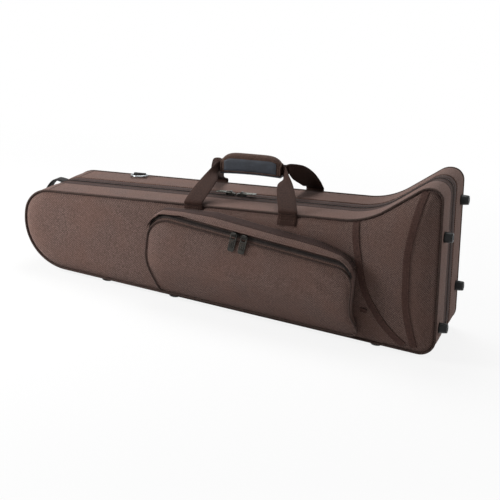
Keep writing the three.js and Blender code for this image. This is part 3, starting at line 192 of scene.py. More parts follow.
@dataclass(frozen=True)
class WovenCloth:
    """A plain weave of two threads, mottled as dyed polyester is.

    thread_mm is the width of one thread as drawn. follows says that the weave runs along the
    piece's own flow map, as on webbing, and not along the case's axes.
    """

    name: str
    slot: Slot
    warp: str
    weft: str
    mottle: str
    thread_mm: float = 1.3
    length_ratio: float = 1.0
    mottle_share: float = 0.35
    fleck_share: float = 0.35
    roughness: float = 0.9
    sheen: float = 0.03
    relief_mm: float = 0.25
    shine: float = 0.15
    follows: bool = False
    flecks_per_metre: float = 400.0
    clouds_per_metre: float = 16.0

    def threads(self, tree: bpy.types.NodeTree) -> tuple[bpy.types.NodeSocket, bpy.types.NodeSocket]:
        """Gives the two directions that the threads run in.

        Args:
            tree: Tree of the material.

        Returns:
            Sockets with the two distances in metres.
        """
        place = add_node(tree, PLACE).outputs
        if self.follows:
            flow = add_node(tree, SPLIT, inputs={"Vector": place["UV"]}).outputs
            return flow["X"], flow["Y"]
        at = add_node(tree, SPLIT, inputs={"Vector": place["Object"]}).outputs
        facing = add_node(tree, SPLIT, inputs={"Vector": place["Normal"]}).outputs
        picked = []
        for axis in ("X", "Z"):
            size = add_node(tree, MATH, {"operation": "ABSOLUTE"}, {0: facing[axis]})
            test = add_node(tree, MATH, {"operation": "GREATER_THAN"}, {0: size.outputs[0], 1: 0.7})
            choice = {0: test.outputs[0], 2: at[axis], 3: at["Y"]}
            picked.append(add_node(tree, MIX, {"data_type": "FLOAT"}, choice).outputs[0])
        return picked[0], picked[1]

    def build(self) -> bpy.types.Material:
        """Builds the cloth's look.

        Returns:
            The material.
        """
        made, tree, shader = start_material(self.name)
        waves = []
        for way, ratio in zip(self.threads(tree), (self.length_ratio, 1.0)):
            pace = FULL_TURN / (2 * self.thread_mm * MM * ratio)
            scaled = add_node(tree, MATH, {"operation": "MULTIPLY"}, {0: way, 1: pace})
            waves.append(add_node(tree, MATH, {"operation": "SINE"}, {0: scaled.outputs[0]}).outputs[0])
        over = add_node(tree, MATH, {"operation": "MULTIPLY"}, {0: waves[0], 1: waves[1]})
        height = add_node(tree, MATH, {"operation": "MULTIPLY_ADD"}, {0: over.outputs[0], 1: 0.5, 2: 0.5})
        place = add_node(tree, PLACE).outputs["Object"]
        fleck = add_node(tree, NOISE, inputs={"Vector": place, "Scale": self.flecks_per_metre, "Detail": 2.0})
        cloud = add_node(tree, NOISE, inputs={"Vector": place, "Scale": self.clouds_per_metre, "Detail": 4.0})
        pair = {0: height.outputs[0], 6: linear(self.weft), 7: linear(self.warp)}
        threads = add_node(tree, MIX, {"data_type": "RGBA"}, pair)
        dark, pale = 1 - self.fleck_share, 1 + self.fleck_share
        grey = {"Value": fleck.outputs["Fac"], 1: 0.3, 2: 0.7, 3: dark, 4: pale}
        speckle = add_node(tree, RANGE, inputs=grey)
        tinted = {0: 1.0, 6: threads.outputs[2], 7: speckle.outputs[0]}
        flecked = add_node(tree, MIX, {"data_type": "RGBA", "blend_type": "MULTIPLY"}, tinted)
        spread = {"Value": cloud.outputs["Fac"], 1: 0.38, 2: 0.66, 3: 0.0, 4: self.mottle_share}
        patches = add_node(tree, RANGE, inputs=spread)
        shades = {0: patches.outputs[0], 6: flecked.outputs[2], 7: linear(self.mottle)}
        dyed = add_node(tree, MIX, {"data_type": "RGBA"}, shades)
        rough = {0: fleck.outputs["Fac"], 1: 0.5, 2: height.outputs[0]}
        relief = add_node(tree, MATH, {"operation": "MULTIPLY_ADD"}, rough)
        depth = {"Strength": 0.8, "Distance": self.relief_mm * MM, "Height": relief.outputs[0]}
        bump = add_node(tree, "ShaderNodeBump", inputs=depth)
        feed(shader, {"Base Color": dyed.outputs[2], "Normal": bump.outputs["Normal"]})
        feed(shader, {"Roughness": self.roughness, "Specular IOR Level": self.shine})
        feed(shader, {"Sheen Weight": self.sheen, "Sheen Roughness": 0.5})
        return made


@dataclass(frozen=True)
class GrainedSurface:
    """A surface with a cell grain and a slow change of tone: leather, rubber, plush or plated metal."""

    name: str
    slot: Slot
    tone: str
    worn: str
    roughness: float
    grain_mm: float
    relief_mm: float
    metallic: float = 0.0
    sheen: float = 0.0
    coat: float = 0.0
    rough_spread: float = 0.08
    worn_share: float = 0.5
    shine: float = 0.5
    clouds_per_metre: float = 55.0

    def build(self) -> bpy.types.Material:
        """Builds the surface's look.

        Returns:
            The material.
        """
        made, tree, shader = start_material(self.name)
        place = add_node(tree, PLACE).outputs["Object"]
        cells = {"Vector": place, "Scale": 1 / (self.grain_mm * MM)}
        grain = add_node(tree, "ShaderNodeTexVoronoi", {"feature": "F1"}, cells)
        clouds = {"Vector": place, "Scale": self.clouds_per_metre, "Detail": 5.0}
        wear = add_node(tree, NOISE, inputs=clouds).outputs["Fac"]
        share = add_node(tree, RANGE, inputs={"Value": wear, 1: 0.35, 2: 0.75, 3: 0.0, 4: self.worn_share})
        tones = {0: share.outputs[0], 6: linear(self.tone), 7: linear(self.worn)}
        colour = add_node(tree, MIX, {"data_type": "RGBA"}, tones)
        low, high = self.roughness - self.rough_spread, self.roughness + self.rough_spread
        gloss = add_node(tree, RANGE, inputs={"Value": wear, 1: 0.3, 2: 0.7, 3: low, 4: high})
        depth = {"Strength": 0.7, "Distance": self.relief_mm * MM, "Height": grain.outputs["Distance"]}
        bump = add_node(tree, "ShaderNodeBump", inputs=depth)
        feed(shader, {"Base Color": colour.outputs[2], "Roughness": gloss.outputs[0]})
        feed(shader, {"Normal": bump.outputs["Normal"], "Metallic": self.metallic})
        feed(shader, {"Specular IOR Level": self.shine, "Sheen Weight": self.sheen, "Coat Weight": self.coat})
        return made


Finish = WovenCloth | GrainedSurface


@dataclass
class Finishes:
    """Every finish of the case, built once."""

    # Dyed polyester canvas of brown and rose-brown threads, 0.6 mm wide, drawn 2.1 mm wide to show
    cloth: Finish = WovenCloth(
        "woven_brown_canvas", Slot.FABRIC, "7b645d", "40342f", "6b4f45", 2.1, fleck_share=0.33, relief_mm=0.3
    )
    # Ribbed polyester tape over the seams, redder and darker than the canvas, its weave in relief
    tape: Finish = WovenCloth(
        "ribbed_brown_tape", Slot.TAPE, "58403a", "33241f", "472f29", 0.9, 2.5, roughness=0.8, follows=True
    )
    # The same tape along the main zip and on the pocket's hood, darker and redder
    zip_band: Finish = WovenCloth(
        "dark_ribbed_zip_tape", Slot.TAPE, "3f2c28", "241a17", "34221e", 1.1, 2.5, roughness=0.8, follows=True
    )
    # Woven tape of the pocket's zip, dark grey-brown and flat
    zip_cloth: Finish = WovenCloth(
        "dark_zip_tape", Slot.COIL, "463b37", "2c2522", "362d2a", 0.8, roughness=0.7, follows=True
    )
    # Nylon coil of the zips, dyed nearly black, with a soft gloss
    coil: Finish = WovenCloth(
        "dyed_nylon_coil", Slot.COIL, "292422", "151211", "1e1a18", 0.8, roughness=0.55, sheen=0.0, shine=0.2
    )
    # Bias binding sewn round a cord: the weave runs round it and catches little light
    piping: Finish = WovenCloth(
        "bound_cord_piping", Slot.PIPING, "51403a", "2f2521", "3f2f2a", 0.7, roughness=0.75
    )
    # Polypropylene webbing, satin along its long threads
    webbing: Finish = WovenCloth(
        "dark_brown_webbing", Slot.WEBBING, "402c26", "241813", "301e17", 1.0, 1.6,
        roughness=0.75, shine=0.1, follows=True,
    )
    # Finer woven cover of the padded grip, a little lighter than the straps
    grip_cloth: Finish = WovenCloth(
        "woven_grip_cover", Slot.WEBBING, "5c473f", "352822", "46342c", 0.8,
        roughness=0.75, shine=0.1, follows=True,
    )
    # The same kind of webbing dyed black, on the grab loop, the ring's tab and the hold-down straps
    dark_webbing: Finish = WovenCloth(
        "black_webbing", Slot.DARK_WEBBING, "2c2928", "141313", "1d1b1b", 1.0, 1.6, roughness=0.75, follows=True
    )
    # Polyester sewing thread, a little lighter than the tape under it
    thread: Finish = WovenCloth(
        "brown_sewing_thread", Slot.TAPE, "6b554a", "4a3830", "57423a", 0.4, roughness=0.7, sheen=0.0
    )
    # Grained cowhide, dyed blue-black, rubbed paler where the hand closes on it
    leather: Finish = GrainedSurface(
        "grained_black_leather", Slot.LEATHER, "2a2d33", "434852", 0.5, 1.8, 0.35, coat=0.05, shine=0.3
    )
    # Moulded rubber, smooth with a soft gloss
    rubber: Finish = GrainedSurface(
        "moulded_black_rubber", Slot.RUBBER, "0d0e0e", "191b1a", 0.3, 0.8, 0.05, rough_spread=0.05, shine=0.25
    )
    # Zinc die casting with a dark plating, worn at its high spots
    gunmetal: Finish = GrainedSurface(
        "dark_plated_zinc", Slot.GUNMETAL, "2e2d2b", "53514c", 0.36, 1.2, 0.04, metallic=0.9
    )
    # Bright nickel plating on steel, nearly a mirror
    bright: Finish = GrainedSurface(
        "bright_nickel_plate", Slot.BRIGHT, "9a9d9e", "75797c", 0.24, 2.0, 0.02, metallic=1.0
    )
    # Nickel plating on the pulls of the main zip, darker than the ring's: its dark tone is partly the pulls'
    # own duller plating and partly painted shade for the dark surroundings that they reflect
    dull_nickel: Finish = GrainedSurface(
        "dull_nickel_plate_and_painted_shade", Slot.BRIGHT, "4b4d49", "8b8c84", 0.3, 1.4, 0.05, metallic=1.0, worn_share=0.9
    )
    # Brushed velour over foam: deep, without gloss, its pile brushed in patches
    plush: Finish = GrainedSurface(
        "brown_velour", Slot.PLUSH, "57392a", "6b4a38", 0.95, 1.1, 0.5, sheen=0.3, worn_share=0.7, shine=0.1
    )
    made: dict = field(default_factory=dict)

    def get(self, finish: Finish) -> bpy.types.Material:
        """Gives a finish's material, built at its first use.

        Args:
            finish: The finish.

        Returns:
            Its material.
        """
        if finish.name not in self.made:
            self.made[finish.name] = finish.build()
        return self.made[finish.name]


@dataclass
class Skin:
    """Closed surface in the making: points in millimetres, faces, and each corner's place on the flow map."""

    points: np.ndarray
    faces: list
    flow: list

    def volume(self) -> float:
        """Measures the volume inside the faces.

        Returns:
            The volume, negative where the faces point inwards.
        """
        total = 0.0
        for face in self.faces:
            a = self.points[face[0]]
            for one, other in zip(face[1:-1], face[2:]):
                total += float(np.dot(a, np.cross(self.points[one], self.points[other])))
        return total / 6

    def facing_out(self) -> "Skin":
        """Turns the faces outwards.

        Returns:
            The surface, itself where nothing has to be turned.
        """
        if self.volume() >= 0:
            return self
        faces = [tuple(reversed(face)) for face in self.faces]
        return Skin(self.points, faces, [tuple(reversed(row)) for row in self.flow])

    def joined_to(self, other: "Skin") -> "Skin":
        """Both surfaces as one list of faces."""
        faces = self.faces + [tuple(i + len(self.points) for i in face) for face in other.faces]
        return Skin(np.vstack([self.points, other.points]), faces, self.flow + other.flow)


def ladder(ring: np.ndarray) -> list:
    """Closes a long ring by stepping along its upper and its lower side together.

    Args:
        ring: Points of the ring.

    Returns:
        Triangles as indices into the ring, in the ring's own sense.
    """
    count = len(ring)
    first, last = int(np.argmin(ring[:, 0])), int(np.argmax(ring[:, 0]))
    ahead = [(first + k) % count for k in range((last - first) % count + 1)]
    back = [(first - k) % count for k in range((first - last) % count + 1)]
    i = j = 0
    lids = []
    while i < len(ahead) - 1 or j < len(back) - 1:
        next_ahead = ring[ahead[i + 1], 0] if i < len(ahead) - 1 else math.inf
        next_back = ring[back[j + 1], 0] if j < len(back) - 1 else math.inf
        if next_ahead <= next_back:
            lids.append((ahead[i], ahead[i + 1], back[j]))
            i += 1
        else:
            lids.append((ahead[i], back[j + 1], back[j]))
            j += 1
    lids = [t for t in lids if len(set(t)) == 3]
    edges = {(t[k], t[(k + 1) % 3]) for t in lids for k in range(3)}
    as_ring = any((i, (i + 1) % count) in edges for i in range(count))
    return lids if as_ring else [tuple(reversed(t)) for t in lids]


def loft(rings: list[np.ndarray] | np.ndarray, ends: Ends = Ends.FLAT) -> Skin:
    """Makes a surface through rings with equal counts of points.

    Args:
        rings: Closed rings of points, one after the other.
        ends: How the first and last ring are closed.

    Returns:
        The surface, its flow running along the rows and round the rings, in metres.
    """
    stack = np.asarray(rings, dtype=float)
    rows, count = stack.shape[:2]
    points = stack.reshape(-1, 3)
    steps = np.linalg.norm(np.diff(stack, axis=0), axis=2).mean(axis=1)
    along = np.concatenate([[0.0], np.cumsum(steps)]) * MM
    closed = np.concatenate([stack, stack[:, :1]], axis=1)
    turns = np.linalg.norm(np.diff(closed, axis=1), axis=2).mean(axis=0)
    around = np.concatenate([[0.0], np.cumsum(turns)]) * MM
    faces, flow = [], []
    joined = ends is Ends.JOINED
    for row in range(rows if joined else rows - 1):
        after = (row + 1) % rows
        near = along[row]
        far = near + (along[-1] / max(rows - 1, 1) if after == 0 else along[after] - near)
        for i in range(count):
            j = (i + 1) % count
            faces.append((row * count + i, row * count + j, after * count + j, after * count + i))
            flow.append(((near, around[i]), (near, around[i + 1]), (far, around[i + 1]), (far, around[i])))
    for row, turned in () if joined else ((0, True), (rows - 1, False)):
        start = row * count
        if ends is Ends.FLAT:
            lids = [tuple(range(count))]
        elif ends is Ends.LADDER:
            lids = ladder(stack[row])
        else:
            points = np.vstack([points, stack[row].mean(axis=0)])
            lids = [(i, (i + 1) % count, len(points) - 1 - start) for i in range(count)]
        for lid in lids:
            face = tuple(start + i for i in lid)
            faces.append(tuple(reversed(face)) if turned else face)
            flow.append(tuple((points[i][0] * MM, points[i][2] * MM) for i in faces[-1]))
    return Skin(points, faces, flow).facing_out()


def circle(count: int) -> list[tuple[float, float]]:
    """Cosine and sine of even turns round a circle."""
    turns = [FULL_TURN * k / count for k in range(count)]
    return [(math.cos(a), math.sin(a)) for a in turns]


def two_faced(side: tuple) -> list[tuple[float, float]]:
    """Section of a strap from the places on one side: the other side is its half turn."""
    return [*side, *((-a, -b) for a, b in side)]


def spline(knots: np.ndarray, samples: int) -> np.ndarray:
    """Draws a smooth line through knots, evenly in the knots' count.

    Args:
        knots: Rows of numbers of any length.
        samples: How many points each stretch gets.

    Returns:
        The points, first and last knot included.
    """
    padded = np.vstack([2 * knots[0] - knots[1], knots, 2 * knots[-1] - knots[-2]])
    out = []
    for i in range(1, len(padded) - 2):
        p0, p1, p2, p3 = padded[i - 1 : i + 3]
        for t in (k / samples for k in range(samples)):
            square, cube = (2 * p0 - 5 * p1 + 4 * p2 - p3) * t**2, (3 * p1 - p0 - 3 * p2 + p3) * t**3
            out.append(0.5 * (2 * p1 + (p2 - p0) * t + square + cube))
    out.append(padded[-2])
    return np.array(out)


def even(points: np.ndarray, step: float) -> np.ndarray:
    """Spaces the points of a line evenly.

    Args:
        points: Points of an open line.
        step: Distance wanted between two points.

    Returns:
        The new points.
    """
    gaps = np.linalg.norm(np.diff(points, axis=0), axis=1)
    way = np.concatenate([[0.0], np.cumsum(gaps)])
    wanted = np.linspace(0, way[-1], max(2, round(way[-1] / step) + 1))
    return np.stack([np.interp(wanted, way, points[:, k]) for k in range(points.shape[1])], axis=1)


def smooth_step(value: np.ndarray | float, low: float, high: float) -> np.ndarray | float:
    """Goes softly from 0 at low to 1 at high."""
    t = np.clip((np.asarray(value, dtype=float) - low) / (high - low), 0, 1)
    return t * t * (3 - 2 * t)


def unit(vector: np.ndarray) -> np.ndarray:
    """The vector, or each row of vectors, at length one."""
    return vector / np.linalg.norm(vector, axis=-1, keepdims=True)


def ripple(points: np.ndarray, size: float, seed: float) -> np.ndarray:
    """Slow, fixed unevenness of about -1 to 1, with waves of a size in millimetres and a seed."""
    return np.array([noise.noise(Vector(p / size) + Vector((seed, seed, seed))) for p in points])


@dataclass
class CaseFrame:
    """Where the case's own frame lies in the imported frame, and how pieces are set in it."""

    rear_parting: float = 0.3
    narrow_x: float = -440.0
    weld_mm: float = 0.01
    flat_below: float = math.radians(2)
    bevel_above: float = math.radians(28)
    softened_sharp: float = 35.0
    finishes: Finishes = field(default_factory=Finishes)

    def __post_init__(self) -> None:
        """Reads the shift off the rear half, whose narrow end and parting face have known places."""
        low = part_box("rear_shell")[0]
        self.shift = np.array([low.x - self.narrow_x * MM, low.y - self.rear_parting * MM, 0.0])
        self.joints = {j["name"]: j for j in frame["record"]["behaviour"]["joints"]}

    def put(self, points: np.ndarray) -> np.ndarray:
        """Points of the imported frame, in metres, for points of the case's frame."""
        return np.asarray(points, dtype=float) * MM + self.shift

    def pivot(self, joint: str) -> tuple[np.ndarray, np.ndarray]:
        """Pivot of a joint in the case's frame, and its axis."""
        found = self.joints[joint]
        return (np.array(found["pos_m"]) - self.shift) / MM, unit(np.array(found["axis"], dtype=float))

    @staticmethod
    def shade(mesh: bpy.types.Mesh, sharp: float) -> None:
        """Shades a mesh smooth, but for edges above an angle in degrees."""
        mesh.polygons.foreach_set("use_smooth", [True] * len(mesh.polygons))
        mesh.set_sharp_from_angle(angle=math.radians(sharp))

    def piece(
        self,
        name: str,
        skin: Skin,
        finish: Finish,
        body: str,
        replaces: tuple[str, ...] = (),
        sharp: float = 42.0,
    ) -> bpy.types.Object:
        """Makes a finished piece of the model.

        Args:
            name: Name of the piece.
            skin: Its surface.
            finish: Its finish.
            body: CAD body that it rides on.
            replaces: CAD nodes that it stands for.
            sharp: Angle in degrees above which an edge stays sharp.

        Returns:
            The piece.
        """
        mesh = bpy.data.meshes.new(name)
        mesh.from_pydata(self.put(skin.points).tolist(), [], skin.faces)
        flow = mesh.uv_layers.new(name="flow")
        flow.data.foreach_set("uv", [n for row in skin.flow for spot in row for n in spot])
        mesh.materials.append(self.finishes.get(finish))
        self.shade(mesh, sharp)
        mesh.validate()
        return self.fit(add_object(name, mesh), body, finish.slot, replaces)

    def fit(
        self, made: bpy.types.Object, body: str, slot: Slot, replaces: tuple[str, ...] = ()
    ) -> bpy.types.Object:
        """Sets a piece on its body.

        Args:
            made: The piece.
            body: CAD body that it rides on.
            slot: Slot of the record that it takes its finish from; not used.
            replaces: CAD nodes that it stands for.

        Returns:
            The same piece.
        """
        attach(made, body)
        if replaces:
            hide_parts(*replaces)
        log.info("piece %s on %s, %d faces", made.name, body, len(made.data.polygons))
        return made

    def softened(
        self, node: str, finish: Finish, body: str, edge_mm: float, steps: int = 3
    ) -> bpy.types.Object:
        """Makes a copy of a CAD node with rounded edges, which stands for the node.

        Args:
            node: Name of the CAD node.
            finish: Finish of the copy.
            body: Body that it rides on.
            edge_mm: Radius of the rounded edges.
            steps: Facets across each rounded edge.

        Returns:
            The copy.
        """
        made = add_object(f"{node}_dressed", frame["nodes"][node].data.copy())
        made.data.name = made.name
        made.data.materials.clear()
        made.data.materials.append(self.finishes.get(finish))
        bevel = {"width": edge_mm * MM, "segments": steps, "limit_method": "ANGLE"}
        for kind, settings in (
            ("WELD", {"merge_threshold": self.weld_mm * MM}),
            ("DECIMATE", {"decimate_type": "DISSOLVE", "angle_limit": self.flat_below}),
            ("BEVEL", bevel | {"angle_limit": self.bevel_above}),
        ):
            tune(made.modifiers.new(kind.lower(), kind), settings)
        made.data = settled(made)
        self.shade(made.data, self.softened_sharp)
        return self.fit(made, body, finish.slot, (node,))


@dataclass(frozen=True)
class Bead:
    """One small rounded block that repeats along a path, with its sizes in millimetres."""

    spacing: float
    length: float
    width: float
    height: float


STITCH = Bead(spacing=4.4, length=3.6, width=1.0, height=0.8)
COIL_TOOTH = Bead(spacing=2.2, length=1.7, width=6.6, height=2.6)
POCKET_TOOTH = Bead(spacing=2.0, length=1.5, width=5.0, height=1.8)


class PathRepeater:
    """Geometry Nodes tree that sets a rounded block at even steps along a path."""

    def __init__(self, case: CaseFrame) -> None:
        """Builds the tree with its named inputs.

        Args:
            case: Frame that the pieces are set in.
        """
        self.case = case
        self.tree = tree = bpy.data.node_groups.new("blocks_along_path", "GeometryNodeTree")
        face = tree.interface
        face.new_socket("Geometry", in_out="OUTPUT", socket_type="NodeSocketGeometry")
        kinds = {"Geometry": "Geometry"} | dict.fromkeys(("Spacing", "Length", "Width", "Height"), "Float")
        for label, kind in (kinds | {"Finish": "Material"}).items():
            face.new_socket(label, in_out="INPUT", socket_type=f"NodeSocket{kind}")
        self.sockets = {s.name: s.identifier for s in face.items_tree if s.in_out == "INPUT"}
        given = add_node(tree, "NodeGroupInput").outputs
        path = add_node(tree, "GeometryNodeMeshToCurve", inputs={"Mesh": given["Geometry"]})
        steps = {"Curve": path.outputs[0], "Length": given["Spacing"]}
        spots = add_node(tree, "GeometryNodeResampleCurve", {"mode": "LENGTH"}, steps)
        sizes = {"X": given["Length"], "Y": given["Width"], "Z": given["Height"]}
        size = add_node(tree, "ShaderNodeCombineXYZ", inputs=sizes)
        block = add_node(tree, "GeometryNodeMeshCube", inputs={"Size": size.outputs[0]})
        rounding = {"Mesh": block.outputs[0], "Level": 1}
        rounded = add_node(tree, "GeometryNodeSubdivisionSurface", inputs=rounding)
        way = add_node(tree, "GeometryNodeInputTangent")
        up = add_node(tree, "GeometryNodeInputNamedAttribute", {"data_type": "FLOAT_VECTOR"}, {"Name": "up"})
        align = "FunctionNodeAlignRotationToVector"
        lean = add_node(tree, align, {"axis": "X"}, {"Vector": way.outputs[0]})
        upright = {"Rotation": lean.outputs[0], "Vector": up.outputs["Attribute"]}
        turn = add_node(tree, align, {"axis": "Z", "pivot_axis": "X"}, upright)
        blocks = {"Points": spots.outputs[0], "Instance": rounded.outputs[0], "Rotation": turn.outputs[0]}
        made = add_node(tree, "GeometryNodeInstanceOnPoints", inputs=blocks)
        for kind, more in (
            ("GeometryNodeRealizeInstances", {}),
            ("GeometryNodeSetShadeSmooth", {}),
            ("GeometryNodeSetMaterial", {"Material": given["Finish"]}),
            ("NodeGroupOutput", {}),
        ):
            made = add_node(tree, kind, inputs={"Geometry": made.outputs[0]} | more)

    def run(
        self,
        name: str,
        paths: Rows,
        bead: Bead,
        finish: Finish,
        body: str,
        slot: Slot | None = None,
        replaces: tuple[str, ...] = (),
    ) -> bpy.types.Object:
        """Makes one piece of all the blocks along some paths.

        Args:
            name: Name of the piece.
            paths: For each path its points and, at each point, the way that is up.
            bead: Sizes of the block.
            finish: Finish of the blocks.
            body: Body that they ride on.
            slot: Slot of the record, where it isn't the finish's own.
            replaces: CAD nodes that they stand for.

        Returns:
            The piece.
        """
        points, ups, edges = [], [], []
        for way, up in paths:
            edges.extend((k, k + 1) for k in range(len(points), len(points) + len(way) - 1))
            points.extend(self.case.put(way).tolist())
            ups.extend(np.asarray(up, dtype=float).tolist())
        mesh = bpy.data.meshes.new(name)
        mesh.from_pydata(points, edges, [])
        upward = mesh.attributes.new("up", "FLOAT_VECTOR", "POINT")
        upward.data.foreach_set("vector", [n for u in ups for n in u])
        made = add_object(name, mesh)
        rule = made.modifiers.new("blocks", "NODES")
        rule.node_group = self.tree
        for label, value in vars(bead).items():
            rule[self.sockets[label.capitalize()]] = value * MM
        rule[self.sockets["Finish"]] = self.case.finishes.get(finish)
        made.update_tag()
        made.data = settled(made)
        if not made.data.materials:
            made.data.materials.append(self.case.finishes.get(finish))
        return self.case.fit(made, body, slot or finish.slot, replaces)


@dataclass(frozen=True)
class Corner:
    """Corner of an outline in X and Z with its radius."""

    x: float
    z: float
    radius: float


@dataclass
class RoundedOutline:
    """Closed outline with rounded corners, which keeps its count of points at every inset."""

    corners: list[Corner]
    step: float = 5.0
    least_radius: float = 2.0
    arc_density: float = 1.15
    least_arc_steps: int = 5

    def __post_init__(self) -> None:
        """Counts the steps of every arc and edge, once, on the outline itself."""
        self.counts = [(1, 1)] * len(self.corners)
        arcs = self.arcs(0.0)
        self.counts = []
        for i, arc in enumerate(arcs):
            span = np.linalg.norm(arc[-1] - arc[0])
            reach = np.linalg.norm(arcs[(i + 1) % len(arcs)][0] - arc[-1])
            steps = max(self.least_arc_steps, round(self.arc_density * span / self.step))
            self.counts.append((steps, max(1, round(reach / self.step))))

    def arcs(self, inset: float) -> list[np.ndarray]:
        """Points of each corner's arc.

        Args:
            inset: How far the outline is moved inwards.

        Returns:
            One array of points for each corner.
        """
        spots = [np.array([c.x, c.z]) for c in self.corners]
        count = len(spots)
        ways = [unit(spots[(i + 1) % count] - spots[i]) for i in range(count)]
        inward = [np.array([-w[1], w[0]]) for w in ways]
        starts = [spots[i] + inward[i] * inset for i in range(count)]
        out = []
        for i, corner in enumerate(self.corners):
            a, b = ways[i - 1], ways[i]
            turn = a[0] * b[1] - a[1] * b[0]
            gap = starts[i] - starts[i - 1]
            vertex = starts[i - 1] + a * ((gap[0] * b[1] - gap[1] * b[0]) / turn)
            hollow = turn < 0
            radius = corner.radius + inset if hollow else max(corner.radius - inset, self.least_radius)
            bend = math.atan2(abs(turn), float(np.dot(a, b)))
            side = -1 if hollow else 1
            entry = vertex - a * radius * math.tan(bend / 2)
            centre = entry + inward[i - 1] * side * radius
            spoke = entry - centre
            arc = []
            for k in range(self.counts[i][0] + 1):
                angle = side * bend * k / self.counts[i][0]
                c, s = math.cos(angle), math.sin(angle)
                arc.append(centre + np.array([spoke[0] * c - spoke[1] * s, spoke[0] * s + spoke[1] * c]))
            out.append(np.array(arc))
        return out

    def ring(self, inset: float = 0.0) -> np.ndarray:
        """Points of the whole outline.

        Args:
            inset: How far the outline is moved inwards.

        Returns:
            The points in X and Z, from the first corner's arc on.
        """
        arcs = self.arcs(inset)
        points = []
        for i, arc in enumerate(arcs):
            points.extend(arc)
            after = arcs[(i + 1) % len(arcs)][0]
            steps = self.counts[i][1]
            points.extend(arc[-1] + (after - arc[-1]) * k / steps for k in range(1, steps))
        return np.array(points)

    def start(self, corner: int) -> int:
        """Index of the first point of a corner's arc."""
        return sum(arc + edge for arc, edge in self.counts[:corner])


@dataclass
class TopEdge:
    """Frame of the sloping top edge: u along it from X = 0, v away from it."""

    slope: float
    start_z: float

    def at(self, u: float, y: float, v: float) -> np.ndarray:
        """Place in the case's frame."""
        c, s = math.cos(self.slope), math.sin(self.slope)
        return np.array([u * c - v * s, y, self.start_z + u * s + v * c])

    def through(self, u: float, section: list[tuple[float, float]]) -> np.ndarray:
        """Ring across the edge at u from a section of Y and v."""
        return np.array([self.at(u, y, v) for y, v in section])

    @property
    def along(self) -> np.ndarray:
        """Direction along the edge."""
        return np.array([math.cos(self.slope), 0.0, math.sin(self.slope)])

    @property
    def out(self) -> np.ndarray:
        """Direction away from the edge."""
        return np.array([-math.sin(self.slope), 0.0, math.cos(self.slope)])


